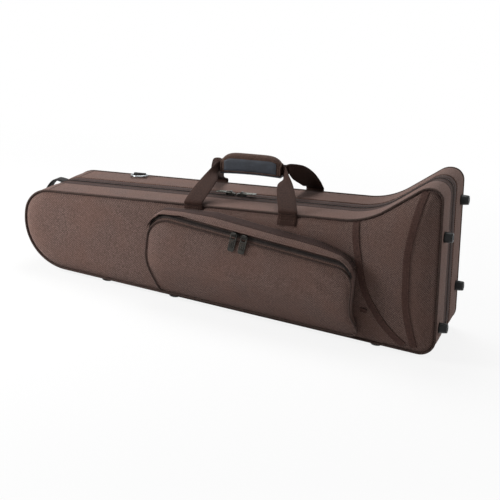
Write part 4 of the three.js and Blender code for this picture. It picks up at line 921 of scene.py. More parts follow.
@dataclass
class CaseBody:
    """The two halves: covers, linings, pipings, zip with its tapes, and the hinge under them."""

    case: CaseFrame
    repeat: PathRepeater
    length: float = 876.0
    narrow_height: float = 152.0
    bell_height: float = 319.0
    top_slope: float = math.radians(6.5)
    wall_lean: float = math.radians(6.7)
    trough_back: float = 172.5
    crown_back: float = 72.0
    narrow_x: float = -440.0
    # Radii of the corners, from the narrow end's lower one round to its upper one
    radii: tuple = (101, 30, 24, 34, 146, 52)
    bottom_z: float = 8.0
    face_y: float = 110.0
    face_bulge: float = 12.0
    bell_bulge: float = 9.0
    bell_from: float = 221.0
    bell_full: float = 101.0
    # Where the spine starts, and its share of the height at both its ends
    spine_from: float = 95.0
    spine_shares: tuple = (0.5526, 0.5016)
    # Share of the way to the spine, and share there of the bell's extra crown
    crowns: tuple = ((0.22, 0.45), (0.55, 0.9), (0.85, 1.0), (0.97, 1.0))
    # Height, width and seed of the cloth's slow waves, and of the puckers along its seam
    waves: tuple = ((0.9, 85.0, 3.0), (0.45, 31.0, 9.0))
    pucker: tuple = (0.45, 9.0, 21.0)
    shoulder: float = 18.0
    # Inset and depth of the wall where it leaves the zip's channel
    channel_lip: tuple = ((2.2, 34.9), (0.6, 35.2), (0.05, 36.4))
    wall: float = 12.0
    wall_swell: float = 0.6
    cover: float = 3.0
    seat_inset: float = 5.0
    seat_rise: float = 1.8
    seat_drop: float = 5.0
    channel_half: float = 35.0
    channel_depth: float = 3.0
    parting: float = 0.3
    tape_seat: float = 0.3
    tape_thickness: float = 1.6
    piping_radius: float = 2.05
    piping_inset: float = 1.0
    piping_proud: float = 1.6
    # Way from the cord's middle to the seam that its binding runs into: in Y, and out of the case
    seam_way: tuple = (-0.585, -0.81)
    cord_sides: int = 16
    binding_swell: float = 0.75
    binding_power: int = 8
    # Distance from the parting plane, and depth under the tape's outside
    tape_section: tuple = (
        (0.9, 1.6), (1.3, 0.6), (2.2, 0.1), (9.0, 0.2), (10.2, 0.75), (11.4, 0.2),
        (20.0, 0.0), (30.6, 0.1), (31.8, 0.5), (32.3, 1.2), (32.3, 1.6),
    )
    tape_stitches: tuple = (6.5, 14.0, 29.0)
    teeth_rise: float = 0.4
    hinge_from: float = 106.0
    hinge_short: float = 35.0
    seam_section: tuple = ((-1.5, -0.4), (-1.3, 0.25), (-0.5, 0.55), (0.5, 0.55), (1.3, 0.25), (1.5, -0.4))
    # Places across a flat strip as shares of its half width, and where its stitches run
    strip_shares: tuple = (-1.0, -0.93, -0.6, 0.0, 0.6, 0.93, 1.0)
    strip_stitches: tuple = (-0.72, 0.72)
    strip_edge: float = 0.45

    def __post_init__(self) -> None:
        """Draws the outline and the spine that the faces rise to."""
        self.looks = self.case.finishes
        rise = math.tan(self.top_slope)
        bell_x = self.narrow_x + self.length
        low, shelf, top = self.bottom_z, self.bottom_z + self.narrow_height, self.bottom_z + self.bell_height
        trough_x = bell_x - self.trough_back
        self.bell_x = bell_x
        self.edge = TopEdge(self.top_slope, shelf - self.narrow_x * rise)
        self.outline = RoundedOutline(
            [
                Corner(x, z, radius)
                for (x, z), radius in zip(
                    (
                        (self.narrow_x, low),
                        (bell_x, low),
                        (bell_x - self.bell_height * math.tan(self.wall_lean), top),
                        (bell_x - self.crown_back, top),
                        (trough_x, shelf + (trough_x - self.narrow_x) * rise),
                        (self.narrow_x, shelf),
                    ),
                    self.radii,
                )
            ]
        )
        self.spine_x = (self.narrow_x + self.spine_from, bell_x - self.bell_full)
        heights = (self.narrow_height, self.bell_height)
        self.spine_z = tuple(low + share * height for share, height in zip(self.spine_shares, heights))
        self.tape_inset = self.channel_depth - self.tape_seat - self.tape_thickness
        self.trees: dict[int, BVHTree] = {}

    def spine_ring(self, share: float) -> np.ndarray:
        """Ring on the way from the shoulder of the face to the spine.

        Args:
            share: Share of the way.

        Returns:
            The ring in X and Z.
        """
        ring = self.outline.ring(self.shoulder)
        x = np.clip(ring[:, 0], *self.spine_x)
        z = np.interp(x, self.spine_x, self.spine_z)
        return ring + (np.stack([x, z], axis=1) - ring) * share

    def bell_rise(self, x: np.ndarray) -> np.ndarray:
        """Extra crown of the faces over the bell."""
        return self.bell_bulge * smooth_step(x, self.bell_x - self.bell_from, self.bell_x - self.bell_full)

    def swell(self, y: float) -> float:
        """How far the wall's foam swells between its sewn edges."""
        return self.wall_swell * math.sin(math.pi * (y - self.channel_half) / (2 * self.channel_half))

    @staticmethod
    def at_depth(ring: np.ndarray, side: int, depth: np.ndarray | float) -> np.ndarray:
        """Points of X and Z set at a depth on one side of the parting plane."""
        return np.stack([ring[:, 0], side * (np.zeros(len(ring)) + depth), ring[:, 1]], axis=1)

    def levels(self, side: int, places: list[tuple[float, float]]) -> list[np.ndarray]:
        """Rings of the outline at pairs of inset and depth."""
        return [self.at_depth(self.outline.ring(inset), side, y) for inset, y in places]

    def face_rings(self, side: int, drop: float, border: float) -> list[np.ndarray]:
        """Rings of a domed face from its edge to its spine.

        Args:
            side: -1 for the front, 1 for the rear.
            drop: How far the face lies inside the cover's outside.
            border: Inset of the face's edge.

        Returns:
            The rings.
        """
        full = self.face_y + self.face_bulge - drop
        edge = ((border, self.seat_rise), (max(10.0, border + 1), 6.0), (self.shoulder, 9.6))
        knots = self.levels(side, [(inset, self.face_y + rise - drop) for inset, rise in edge])
        for share, crown in self.crowns:
            ring = self.spine_ring(share)
            knots.append(self.at_depth(ring, side, full + crown * self.bell_rise(ring[:, 0])))
        return [row.reshape(-1, 3) for row in spline(np.array(knots).reshape(len(knots), -1), 5)]

    def crumple(self, rings: list[np.ndarray], side: int) -> list[np.ndarray]:
        """Gives a face the unevenness of cloth drawn over foam, with puckers along its seam.

        Args:
            rings: Rings of the face from its edge to its spine.
            side: Side of the face.

        Returns:
            The moved rings.
        """
        out = []
        for k, ring in enumerate(rings):
            share = smooth_step(k / len(rings), 0.05, 0.3)
            lift = sum(high * share * ripple(ring, wide, seed + side) for high, wide, seed in self.waves)
            high, wide, seed = self.pucker
            near_seam = high * smooth_step(k, 0, 2) * (1 - smooth_step(k, 4, 12))
            lift = lift + near_seam * ripple(ring, wide, seed + side)
            moved = ring.copy()
            moved[:, 1] += side * lift
            out.append(moved)
        return out

    def cover_skin(self, side: int) -> Skin:
        """Draws the cover of one half: wall, zip channel and face, and its inner side under them.

        Args:
            side: Side of the half.

        Returns:
            The cover.
        """
        outside = [(self.channel_depth, y) for y in (self.parting, 12.0, 24.0, 34.4)]
        outside += self.channel_lip
        outside += [(-self.swell(y), y) for y in np.linspace(40, 102, 9)]
        outside += [(0.0, self.face_y - self.seat_drop), (2.4, self.face_y - 1.8)]
        inside = [(self.channel_depth + self.cover, y) for y in (self.parting, 100.0)]
        face = self.crumple(self.face_rings(side, 0.0, self.seat_inset), side)
        inner_face = self.face_rings(side, self.cover + 1.6, self.seat_inset + self.cover)
        walls = self.levels(side, outside[::-1] + inside)
        return loft([*reversed(face), *walls, *inner_face], Ends.LADDER)

    def lining_skin(self, side: int) -> Skin:
        """Draws the plush tray inside one half, with a rounded edge where the halves meet.

        Args:
            side: Side of the half.

        Returns:
            The tray.
        """
        base, wall = self.channel_depth + self.cover + 0.3, self.wall
        outer_face = self.face_rings(side, self.cover + 2.6, base + 3.0)
        inner_face = self.face_rings(side, wall, wall + 5.0)
        sides = [(base, 99.0), (base, 50.0), (base, 2.0)]
        rim = [(base + 1.0, 0.9), (base + 2.8, 0.5), (wall - 0.6, 1.0)]
        walls = [(wall, y) for y in (2.6, 30.0, 60.0, 88.0)] + [(wall + 0.6, 95.0), (wall + 2.4, 98.6)]
        return loft([*reversed(outer_face), *self.levels(side, sides + rim + walls), *inner_face], Ends.LADDER)

    def depth(self, side: int, x: float, z: float) -> float:
        """Distance of a face from the parting plane at X and Z, or the piping's if they lie off the face."""
        hit = self.trees[side].ray_cast(Vector((x, side * 400.0, z)), Vector((0, -side, 0)))
        return side * hit[0].y if hit[0] else self.face_y

    def tube(
        self,
        middle: np.ndarray,
        outer: np.ndarray,
        y: np.ndarray | float,
        radius: float,
        seam_turn: float | None = None,
    ) -> Skin:
        """Round cord along a ring.

        Args:
            middle: Ring that the cord follows.
            outer: The same ring a little further out.
            y: Its place in Y.
            radius: Its radius.
            seam_turn: Angle at which the cord's binding runs into the seam, if it does.

        Returns:
            The cord.
        """
        sections = []
        out = unit(outer - middle)
        for turn in (FULL_TURN * k / self.cord_sides for k in range(self.cord_sides)):
            size = radius
            if seam_turn is not None:
                size *= 1 + self.binding_swell * max(0.0, math.cos(turn - seam_turn)) ** self.binding_power
            sections.append(self.at_depth(middle + out * size * math.cos(turn), 1, y + size * math.sin(turn)))
        return loft(np.stack(sections, axis=1), Ends.JOINED)

    def zip_run(self, inset: float) -> np.ndarray:
        """Points along the zip, from the bell end's lower corner to the narrow end's.

        Args:
            inset: How far they lie inside the outline.

        Returns:
            The points in X and Z.
        """
        ring = self.outline.ring(inset)
        first = self.outline.start(1) + self.outline.counts[1][0]
        last = self.outline.start(len(self.outline.corners))
        return np.array([ring[i % len(ring)] for i in range(first, last + 1)])

    def zip_rows(self, inset: float, places: list[float]) -> Rows:
        """Rows along the zip, each with the way out of the case.

        Args:
            inset: How far they lie inside the outline.
            places: Place of each row in Y.

        Returns:
            The rows.
        """
        run, out = self.zip_run(inset), unit(self.zip_run(0.0) - self.zip_run(2.0))
        return [(self.at_depth(run, 1, y), self.at_depth(out, 1, 0.0)) for y in places]

    def tape_skin(self, side: int) -> Skin:
        """Tape of one half, with a soft outer edge and a shallow fold along its middle."""
        runs = [self.at_depth(self.zip_run(self.tape_inset + drop), side, y) for y, drop in self.tape_section]
        return loft(np.stack(runs, axis=1))

    def build(self) -> None:
        """Builds every piece of the two halves."""
        looks = self.looks
        for side, half in ((1, "rear"), (-1, "front")):
            body = f"{half}_half"
            skin = self.cover_skin(side)
            self.trees[side] = BVHTree.FromPolygons([tuple(p) for p in skin.points], skin.faces)
            self.case.piece(f"{half}_cover", skin, looks.cloth, body, (f"{half}_shell",))
            self.case.piece(f"{half}_lining", self.lining_skin(side), looks.plush, body)
            y = side * (self.face_y + self.piping_proud)
            middle, outer = (self.outline.ring(self.piping_inset - out) for out in (0, 1))
            turn = math.atan2(self.seam_way[0] * side, self.seam_way[1])
            cord = self.tube(middle, outer, y, self.piping_radius, turn)
            self.case.piece(f"{half}_edge_piping", cord, looks.piping, body, (f"{half}_piping",))
            self.case.piece(f"{half}_tape", self.tape_skin(side), looks.zip_band, body, (f"{half}_zip_tape",))
            rows = self.zip_rows(self.tape_inset + STITCH_RISE, [side * y for y in self.tape_stitches])
            self.repeat.run(f"{half}_tape_stitches", rows, STITCH, looks.thread, body)
            self.build_hinge(side, half, body)
            self.build_cross_seam(side, half, body)
        row = self.zip_rows(self.tape_inset - self.teeth_rise, [0.0])
        self.repeat.run("main_zip_teeth", row, COIL_TOOTH, looks.coil, REAR, replaces=("main_zip_coil",))

    def build_cross_seam(self, side: int, half: str, body: str) -> None:
        """Builds the sewn seam across the wall, where the narrow end's own cloth starts.

        Args:
            side: Side of the half.
            half: Name of the half.
            body: Body that the seam rides on.
        """
        outline, start = self.outline.ring(0.0), self.outline.start(5)
        at, way = outline[start], unit(outline[start + 1] - outline[start - 1])
        out = np.array([way[1], -way[0]])
        rings = []
        for y in np.linspace(self.channel_half + 3.0, self.face_y - self.seat_drop - 1.0, 17):
            flat = [at + way * a + out * (b + self.swell(y)) for a, b in self.seam_section]
            rings.append(self.at_depth(np.array(flat), side, y))
        self.case.piece(f"{half}_cross_seam", loft(rings), self.looks.piping, body)

    def build_hinge(self, side: int, half: str, body: str) -> None:
        """Builds one leaf of the cloth hinge under the case.

        Args:
            side: Side of the half.
            half: Name of the half.
            body: Body that the leaf rides on.
        """
        from_x, to_x = self.narrow_x + self.hinge_from, self.bell_x - self.hinge_short
        top = self.bottom_z + self.channel_depth - self.tape_seat
        rings = []
        for x in np.arange(from_x, to_x, 6.0):
            wave = 1.3 + 0.12 * math.sin(x / 11.0)
            section = ((0.3, 0.0), (12.0, 0.0), (24.0, 0.0), (24.3, 0.7), (24.0, 1.4), (12.0, wave), (0.3, 1.4))
            rings.append(np.array([[x, side * y, top - drop] for y, drop in section]))
        self.case.piece(f"hinge_cloth_{half}", loft(rings), self.looks.tape, body, (f"hinge_leaf_{half}",))

    def strip(
        self, side: int, path: np.ndarray, half: float, thickness: float, gap: float = 0.35, least: float = 0.0
    ) -> tuple[Skin, Rows]:
        """Flat strip with soft edges laid on a face along a path of X and Z.

        Args:
            side: Side of the face.
            path: Points along the strip.
            half: Half of its width.
            thickness: Its thickness.
            gap: Space left under it.
            least: Least distance from the parting plane.

        Returns:
            The strip, and the two rows that its stitches follow.
        """
        ways = np.gradient(path, axis=0)
        across = unit(np.stack([-ways[:, 1], ways[:, 0]], axis=1))
        shares = self.strip_shares
        rings, rows = [], [[], []]
        for p, a in zip(path, across):
            spots = np.array([p + a * half * s for s in shares])
            depths = np.array([max(self.depth(side, *q) + gap, least) for q in spots])
            rise = np.array([thickness * (self.strip_edge if abs(s) == 1 else 1.0) for s in shares])
            lower, upper = self.at_depth(spots, side, depths), self.at_depth(spots, side, depths + rise)
            rings.append(np.vstack([lower, upper[::-1]]))
            for row, s in zip(rows, self.strip_stitches):
                q = p + a * half * s
                row.append([q[0], side * (np.interp(s, shares, depths) + thickness + STITCH_RISE), q[1]])
        ups = np.tile([0.0, side, 0.0], (len(path), 1))
        return loft(rings), [(np.array(row), ups) for row in rows]


@dataclass
class SubAssembly:
    """Group of pieces on the shell, whose frame, finishes, repeater and top edge it uses."""

    shell: CaseBody

    def __post_init__(self) -> None:
        """Takes over what the shell is built with."""
        self.case, self.looks = self.shell.case, self.shell.looks
        self.repeat, self.edge = self.shell.repeat, self.shell.edge


@dataclass
class ZipPull:
    """Flat metal pull with a window at its bar and rows of small holes in its plate."""

    length: float
    width: float = 13.0
    thickness: float = 1.8
    bar: float = 1.8
    window: float = 9.0
    window_half: float = 4.6
    hole: float = 1.15
    rows: int = 4
    columns: int = 3
    first_row: float = 3.6
    row_pitch: float = 3.9
    column_pitch: float = 3.5
    tip_share: float = 0.8
    squareness: float = 0.6
    rounding: float = 0.25

    def outline(self) -> list[tuple[float, float]]:
        """Draws the rounded outline of the plate, its bar at zero.

        Returns:
            Points in the plate's X and Y.
        """
        half, start = self.width / 2, -self.bar / 2
        tip = half * self.tip_share
        points = [(-half, start), (half, start)]
        for angle in (math.pi * k / 12 for k in range(13)):
            x = half * math.copysign(abs(math.cos(angle)) ** self.squareness, math.cos(angle))
            points.append((x, self.length - tip + tip * math.sin(angle) ** self.squareness))
        return points

    def holes(self) -> list[list[tuple[float, float]]]:
        """Draws the window and the small round holes.

        Returns:
            The outline of each, run the other way round.
        """
        low, high, half = self.bar / 2, self.bar / 2 + self.window, self.window_half
        cuts = [[(-half, low), (-half, high), (half, high), (half, low)]]
        for row in range(self.rows):
            for column in range(self.columns):
                x = (column - (self.columns - 1) / 2) * self.column_pitch
                y = high + self.first_row + row * self.row_pitch
                cuts.append([(x + self.hole * c, y - self.hole * s) for c, s in circle(10)])
        return cuts

    def mesh(self, name: str) -> bpy.types.Mesh:
        """Draws the plate with its holes and softened edges, flat in its own X and Y, in metres.

        Args:
            name: Name of the mesh.

        Returns:
            The mesh, without a finish.
        """
        curve = bpy.data.curves.new(name, "CURVE")
        edge = self.rounding
        tune(curve, {"dimensions": "2D", "fill_mode": "BOTH", "extrude": (self.thickness / 2 - edge) * MM})
        tune(curve, {"bevel_depth": edge * MM, "bevel_resolution": 1, "offset": -edge * MM})
        for ring in [self.outline(), *self.holes()]:
            line = curve.splines.new("POLY")
            line.points.add(len(ring) - 1)
            line.points.foreach_set("co", [n for x, y in ring for n in (x * MM, y * MM, 0.0, 1.0)])
            line.use_cyclic_u = True
        holder = add_object(name, curve)
        mesh = settled(holder)
        bpy.data.objects.remove(holder)
        mesh.materials.clear()
        mesh.name = name
        return mesh

    def build(
        self, case: CaseFrame, kind: str, label: str, bar_way: np.ndarray, tab_way: np.ndarray, finish: Finish
    ) -> None:
        """Builds the pull where the CAD pull hangs.

        Args:
            case: Frame that it is set in.
            kind: Zip that it belongs to, main or pocket.
            label: Side of the zip, left or right.
            bar_way: Direction of its bar.
            tab_way: Direction that it reaches in.
            finish: Its finish.
        """
        node, name = f"{kind}_pull_{label}", f"{kind}_tab_{label}"
        mesh = self.mesh(name)
        ways = np.array([bar_way, tab_way, np.cross(bar_way, tab_way)])
        place = Matrix([[*row] for row in ways.T]).to_4x4()
        place.translation = Vector(case.put(case.pivot(f"{node}_flip")[0]))
        mesh.transform(place)
        mesh.materials.append(case.finishes.get(finish))
        case.fit(add_object(name, mesh), node, finish.slot, (node,))


@dataclass
class Pocket(SubAssembly):
    """Front pocket: bag, panel piping, zip under its hood, sliders and pulls."""

    left: float = -149.0
    right: float = 263.0
    foot_left: float = -122.0
    foot_right: float = 291.0
    foot_z: float = 17.0
    top_left: float = 170.0
    top_right: float = 151.0
    waist: float = 66.0
    knee: float = 84.0
    full_depth: float = 96.0
    depth: float = 33.0
    least_rise: float = 0.08
    crown: float = 9.0
    slope: float = 14.0
    seat_gap: float = 0.8
    hem_drop: float = 0.3
    piping_out: float = 1.5
    piping_radius: float = 1.7
    tape_stitches: tuple = (0.2, 0.4)
    tape_teeth: tuple = (0.74, 1.9)
    zip_share: float = 0.85
    slider_edge: float = 0.5
    pull_length: float = 34.0
    hood_reach: float = 20.0
    hood_least: float = 6.0
    hood_taper: float = 90.0
    hood_below_edge: float = 9.0
    hood_lip: float = 4.9
    hood_thickness: float = 2.6
    hood_puff: float = 3.6
    binding_lift: tuple = (0.3, 1.0, 1.0, 1.0, 2.6, 0.3)
    # Share of the way to the panel's middle, and its crown there
    crowns: tuple = ((0.0, 0.0), (0.12, 4.6), (0.35, 8.1), (0.75, 9.0), (0.96, 9.0))
    # Height, width and seed of the slow waves of the panel and of the gusset
    waves: tuple = ((0.8, 70.0, 5.0), (0.5, 26.0, 8.0))
    gusset_wave: tuple = (0.5, 22.0, 13.0)
    gusset_bow: float = 1.6
    # Middle of each group of folds, its half width and half height, and how deep its folds are
    folds: tuple = ((208, 112, 46, 26, 1.1), (120, 96, 80, 30, 0.5), (-40, 60, 90, 30, 0.4))
    # Share of the way up the zip's slope, and height over it, also of the stitches and the teeth
    tape_section: tuple = (
        (0.42, 0.6), (0.45, 1.6), (0.6, 1.9), (0.68, 1.5), (0.8, 1.5), (0.86, 1.9), (0.94, 1.6), (0.94, 0.6),
    )

    def __post_init__(self) -> None:
        """Draws the outlines of the panel and of the bag's base."""
        super().__post_init__()
        self.panel = self.outline(0.0)
        self.base = self.outline(self.slope)
        self.base.counts = self.panel.counts

    def outline(self, rise: float) -> RoundedOutline:
        """Draws the outline of the bag.

        Args:
            rise: How far its top is raised, by the slope that the zip lies on.

        Returns:
            The outline.
        """
        corners = [
            Corner(self.foot_left, self.foot_z, 14),
            Corner(self.foot_right, self.foot_z, 14),
            Corner(self.right + self.crown / 2, self.waist, 70),
            Corner(self.right, self.top_right + rise, 36),
            Corner(self.left, self.top_left + rise, 36),
            Corner(self.left, self.knee, 150),
        ]
        return RoundedOutline(corners, step=4.0)

    def rise(self, z: np.ndarray) -> np.ndarray:
        """Share of the bag's depth at a height, nearly nothing at its foot and full at its zip."""
        full = smooth_step(z, self.foot_z - 14, self.full_depth)
        return self.least_rise + (1 - self.least_rise) * full

    def off_face(self, ring: np.ndarray, share: float, crown: float = 0.0) -> np.ndarray:
        """Sets a ring of the bag off the case's face.

        Args:
            ring: Points in X and Z.
            share: Share of the bag's depth.
            crown: Height added where the bag is full.

        Returns:
            The ring.
        """
        face = np.array([self.shell.depth(-1, x, z) for x, z in ring]) + self.seat_gap
        rise = self.rise(ring[:, 1])
        return self.shell.at_depth(ring, -1, face + share * self.depth * rise + crown * rise)

    def drawn_in(self, ring: np.ndarray, share: float) -> np.ndarray:
        """Draws a ring towards the middle of the panel.

        Args:
            ring: Points in X and Z.
            share: Share of the way.

        Returns:
            The ring.
        """
        x = ring[:, 0] + ((self.left + self.right) / 2 - ring[:, 0]) * share / 2
        z = ring[:, 1] + ((self.top_left + self.foot_z) / 2 - ring[:, 1]) * share
        return np.stack([x, z], axis=1)

    def wrinkles(self, x: np.ndarray, z: np.ndarray) -> np.ndarray:
        """Slanting folds where the panel is pulled towards its upper right corner.

        Args:
            x: Places in X.
            z: Places in Z.

        Returns:
            How far each place is pushed in.
        """
        out = np.zeros(len(x))
        for centre_x, centre_z, wide, high, depth in self.folds:
            away = ((x - centre_x) / wide) ** 2 + ((z - centre_z) / high) ** 2
            across = (0.45 * (x - centre_x) + 0.9 * (z - centre_z)) / 5.0
            out += 0.7 * depth * np.exp(-away) * (1 + np.sin(across))
        return out

    def bag_skin(self) -> Skin:
        """Draws the bag: crowned panel, zip slope and gusset, hemmed to the face.

        Returns:
            The bag.
        """
        panel, base = self.panel.ring(), self.base.ring()
        knots = [self.off_face(self.drawn_in(panel, share), 1.0, crown) for share, crown in self.crowns]
        front = []
        for k, row in enumerate(spline(np.array(knots).reshape(len(knots), -1), 7)):
            ring = row.reshape(-1, 3).copy()
            share = smooth_step(k, 0, 7)
            ring[:, 1] += share * sum(high * ripple(ring, wide, seed) for high, wide, seed in self.waves)
            ring[:, 1] += share * self.wrinkles(ring[:, 0], ring[:, 2])
            front.append(ring)
        shelf, foot = self.off_face(base, self.zip_share), self.off_face(base, 0.0)
        hem = self.off_face(self.base.ring(9.0), 0.0)
        hem[:, 1] -= self.hem_drop
        slope = [knots[0] + (shelf - knots[0]) * t for t in (0.25, 0.5, 0.75)]
        away = unit(base - self.base.ring(2.0))
        gusset = []
        for t in (0.0, 0.15, 0.35, 0.55, 0.75, 0.9):
            ring, bow = shelf + (foot - shelf) * t, math.sin(math.pi * t)
            high, wide, seed = self.gusset_wave
            swell = self.gusset_bow * bow * self.rise(ring[:, 2]) + high * ripple(ring, wide, seed) * bow
            gusset.append(ring + self.shell.at_depth(away * swell[:, None], 1, 0.0))
        shell = self.shell
        back_y = shell.face_y + shell.face_bulge + float(shell.bell_rise(np.array([self.right]))[0])
        back = shell.at_depth(self.base.ring(26.0), -1, back_y + self.seat_gap)
        return loft([*reversed(front), *slope, *gusset, foot, hem, back], Ends.FAN)

    def piping_skin(self) -> Skin:
        """Cord round the panel."""
        out, y = self.piping_out, self.off_face(self.panel.ring(), 1.0)[:, 1] - self.piping_out
        return self.shell.tube(self.panel.ring(-out), self.panel.ring(-2 * out), y, self.piping_radius)

    def zip_places(self, share: float, lift: float = 0.0) -> tuple[np.ndarray, np.ndarray]:
        """Run of the zip on its slope.

        Args:
            share: Way up the slope, from the panel's edge at 0 to the shelf at 1.
            lift: Height over the slope.

        Returns:
            Points of the run and the way out of the slope.
        """
        edge = self.off_face(self.panel.ring(), 1.0)
        shelf = self.off_face(self.base.ring(), self.zip_share)
        first = self.panel.start(3) + round(0.2 * self.panel.counts[3][0])
        picked = np.arange(first, self.panel.start(4) + self.panel.counts[4][0] + 2)
        climbs = (shelf - edge)[picked]
        outs = unit(np.cross(edge[picked + 1] - edge[picked - 1], climbs))
        outs[outs[:, 1] > 0] *= -1
        return edge[picked] + climbs * share + outs * lift, outs

    def build_zip(self) -> None:
        """Builds the zip's tape, stitches and teeth."""
        runs = [self.zip_places(share, lift)[0] for share, lift in self.tape_section]
        tape = loft(np.stack(runs, axis=1))
        self.case.piece("pocket_tape", tape, self.looks.zip_cloth, FRONT, ("pocket_zip_tape",))
        teeth, stitches = [self.zip_places(*self.tape_teeth)], [self.zip_places(*self.tape_stitches)]
        self.repeat.run("pocket_zip_teeth", teeth, POCKET_TOOTH, self.looks.coil, FRONT)
        self.repeat.run("pocket_zip_stitches", stitches, STITCH, self.looks.thread, FRONT)

    def reach(self, x: np.ndarray) -> np.ndarray:
        """How far the hood's seam lies from its lip, less towards both ends.

        Args:
            x: Places in X.

        Returns:
            The distance at each place.
        """
        ends = smooth_step(x, self.left, self.left + self.hood_taper)
        ends = np.minimum(ends, 1 - smooth_step(x, self.right - self.hood_taper, self.right))
        return self.hood_least + (self.hood_reach - self.hood_least) * ends

    def hood_lines(self) -> tuple[np.ndarray, np.ndarray]:
        """Draws the two long edges of the hood.

        Returns:
            The seam that it is sewn along, and its lip.
        """
        near, far = self.base.ring(), self.base.ring(-10.0)
        first = self.base.start(3) + round(0.45 * self.base.counts[3][0])
        last = self.base.start(4) + round(0.9 * self.base.counts[4][0])
        out, start = ((far - near) / 10.0)[first:last], near[first:last]
        seam = start + out * self.reach(start[:, 0])[:, None]
        shell = self.shell
        rise = (seam[:, 0] - shell.narrow_x) * math.tan(shell.top_slope)
        top = shell.bottom_z + shell.narrow_height + rise
        seam[:, 1] = np.minimum(seam[:, 1], top - self.hood_below_edge)
        lip = start + out * self.hood_lip
        lip[:, 1] = np.minimum(lip[:, 1], seam[:, 1] - self.hood_lip)
        return self.off_face(seam, 0.0), self.off_face(lip, 1.02)

    def hood_section(self, i: int, sewn: np.ndarray, lip: np.ndarray, full: float) -> np.ndarray:
        """Section of the hood: out over its padding to the lip, and back under it.

        Args:
            i: Number of the section.
            sewn: Place of its seam.
            lip: Place of its lip.
            full: How full it is, less at both ends of the hood.

        Returns:
            The section.
        """
        swell = (1.0 + 0.25 * noise.noise(Vector((i / 9.0, 2.0, 5.0)))) * full
        section = []
        for t in np.linspace(0, 1, 11):
            puff = self.hood_puff * swell * math.sin(math.pi * t**0.8) * (1 - 0.35 * t)
            lift = 1.4 * full * math.sin(math.pi * t)
            section.append(sewn + (lip - sewn) * t + np.array([0.0, -(self.hood_thickness + puff), lift]))
        section.append(lip + np.array([0.0, -self.hood_thickness * 0.5, -1.6]))
        for t in (1.0, 0.7, 0.35, 0.0):
            bow = math.sin(math.pi * t)
            section.append(sewn + (lip - sewn) * t + np.array([0.0, -1.8 * full * bow, 0.9 * full * bow]))
        return np.array(section)

    def build_hood(self) -> None:
        """Builds the padded hood over the zip: sewn to the face above, folded under at its lip."""
        sewn, lip = self.hood_lines()
        rings, bands = [], []
        for i, (a, b) in enumerate(zip(sewn, lip)):
            full = float(smooth_step(min(i, len(sewn) - 1 - i), -1, 5))
            section = self.hood_section(i, a, b, full)
            outside = section[:6] + np.outer(self.binding_lift, (0.0, -0.25, 0.15))
            rings.append(section)
            bands.append(np.vstack([outside, outside[::-1] + np.array([0.0, 0.6, -0.3])]))
        looks = self.looks
        hood = self.case.piece("zip_hood", loft(rings), looks.cloth, FRONT, ("pocket_hood",), 65)
        self.case.piece("hood_binding", loft(bands), looks.zip_band, FRONT, sharp=65)
        ups = np.tile([0.0, -1.0, 0.3], (len(sewn), 1))
        seam, low = (np.array(bands)[:, k] + np.array([0, -0.2, 0.1]) for k in (1, 4))
        hem = np.array(rings)[:, 9] + np.array([0, -0.1, 0.1])
        rows = [(seam, ups), (low, ups), (hem, ups)]
        self.repeat.run("hood_stitches", rows, STITCH, looks.thread, FRONT, Slot.FABRIC)

    def build(self) -> None:
        """Builds the pocket and its fittings."""
        looks = self.looks
        self.case.piece("pocket_bag", self.bag_skin(), looks.cloth, FRONT, ("pocket_body",), 60)
        self.case.piece("panel_piping", self.piping_skin(), looks.piping, FRONT, ("pocket_piping",))
        self.build_zip()
        self.build_hood()
        down = np.array([0.0, -0.2, -1.0])
        for label in ("left", "right"):
            node = f"pocket_slider_{label}"
            self.case.softened(node, looks.gunmetal, node, self.slider_edge)
            _, bar = self.case.pivot(f"pocket_pull_{label}_flip")
            tab = unit(down - bar * float(np.dot(down, bar)))
            ZipPull(self.pull_length).build(self.case, "pocket", label, bar, tab, looks.gunmetal)


@dataclass
class MainZipFittings(SubAssembly):
    """Sliders and pulls of the main zip."""

    slider_edge: float = 0.6
    pull_length: float = 30.0
    pull_rows: int = 3

    def build(self) -> None:
        """Builds both sliders with their pulls."""
        bar = np.array([0.0, 1.0, 0.0])
        for label, way in (("left", -1), ("right", 1)):
            node = f"main_slider_{label}"
            self.case.softened(node, self.looks.gunmetal, node, self.slider_edge)
            pull, tab = ZipPull(self.pull_length, rows=self.pull_rows), self.edge.along * way
            # The pulls take the darker nickel, whose dark tone is partly painted shade for the surroundings
            # they reflect
            pull.build(self.case, "main", label, bar, tab, self.looks.dull_nickel)


# Where the loops' left and right foot stand along the top edge
FRONT_FEET, REAR_FEET = (-78.5, 113.5), (-107.5, 102.5)


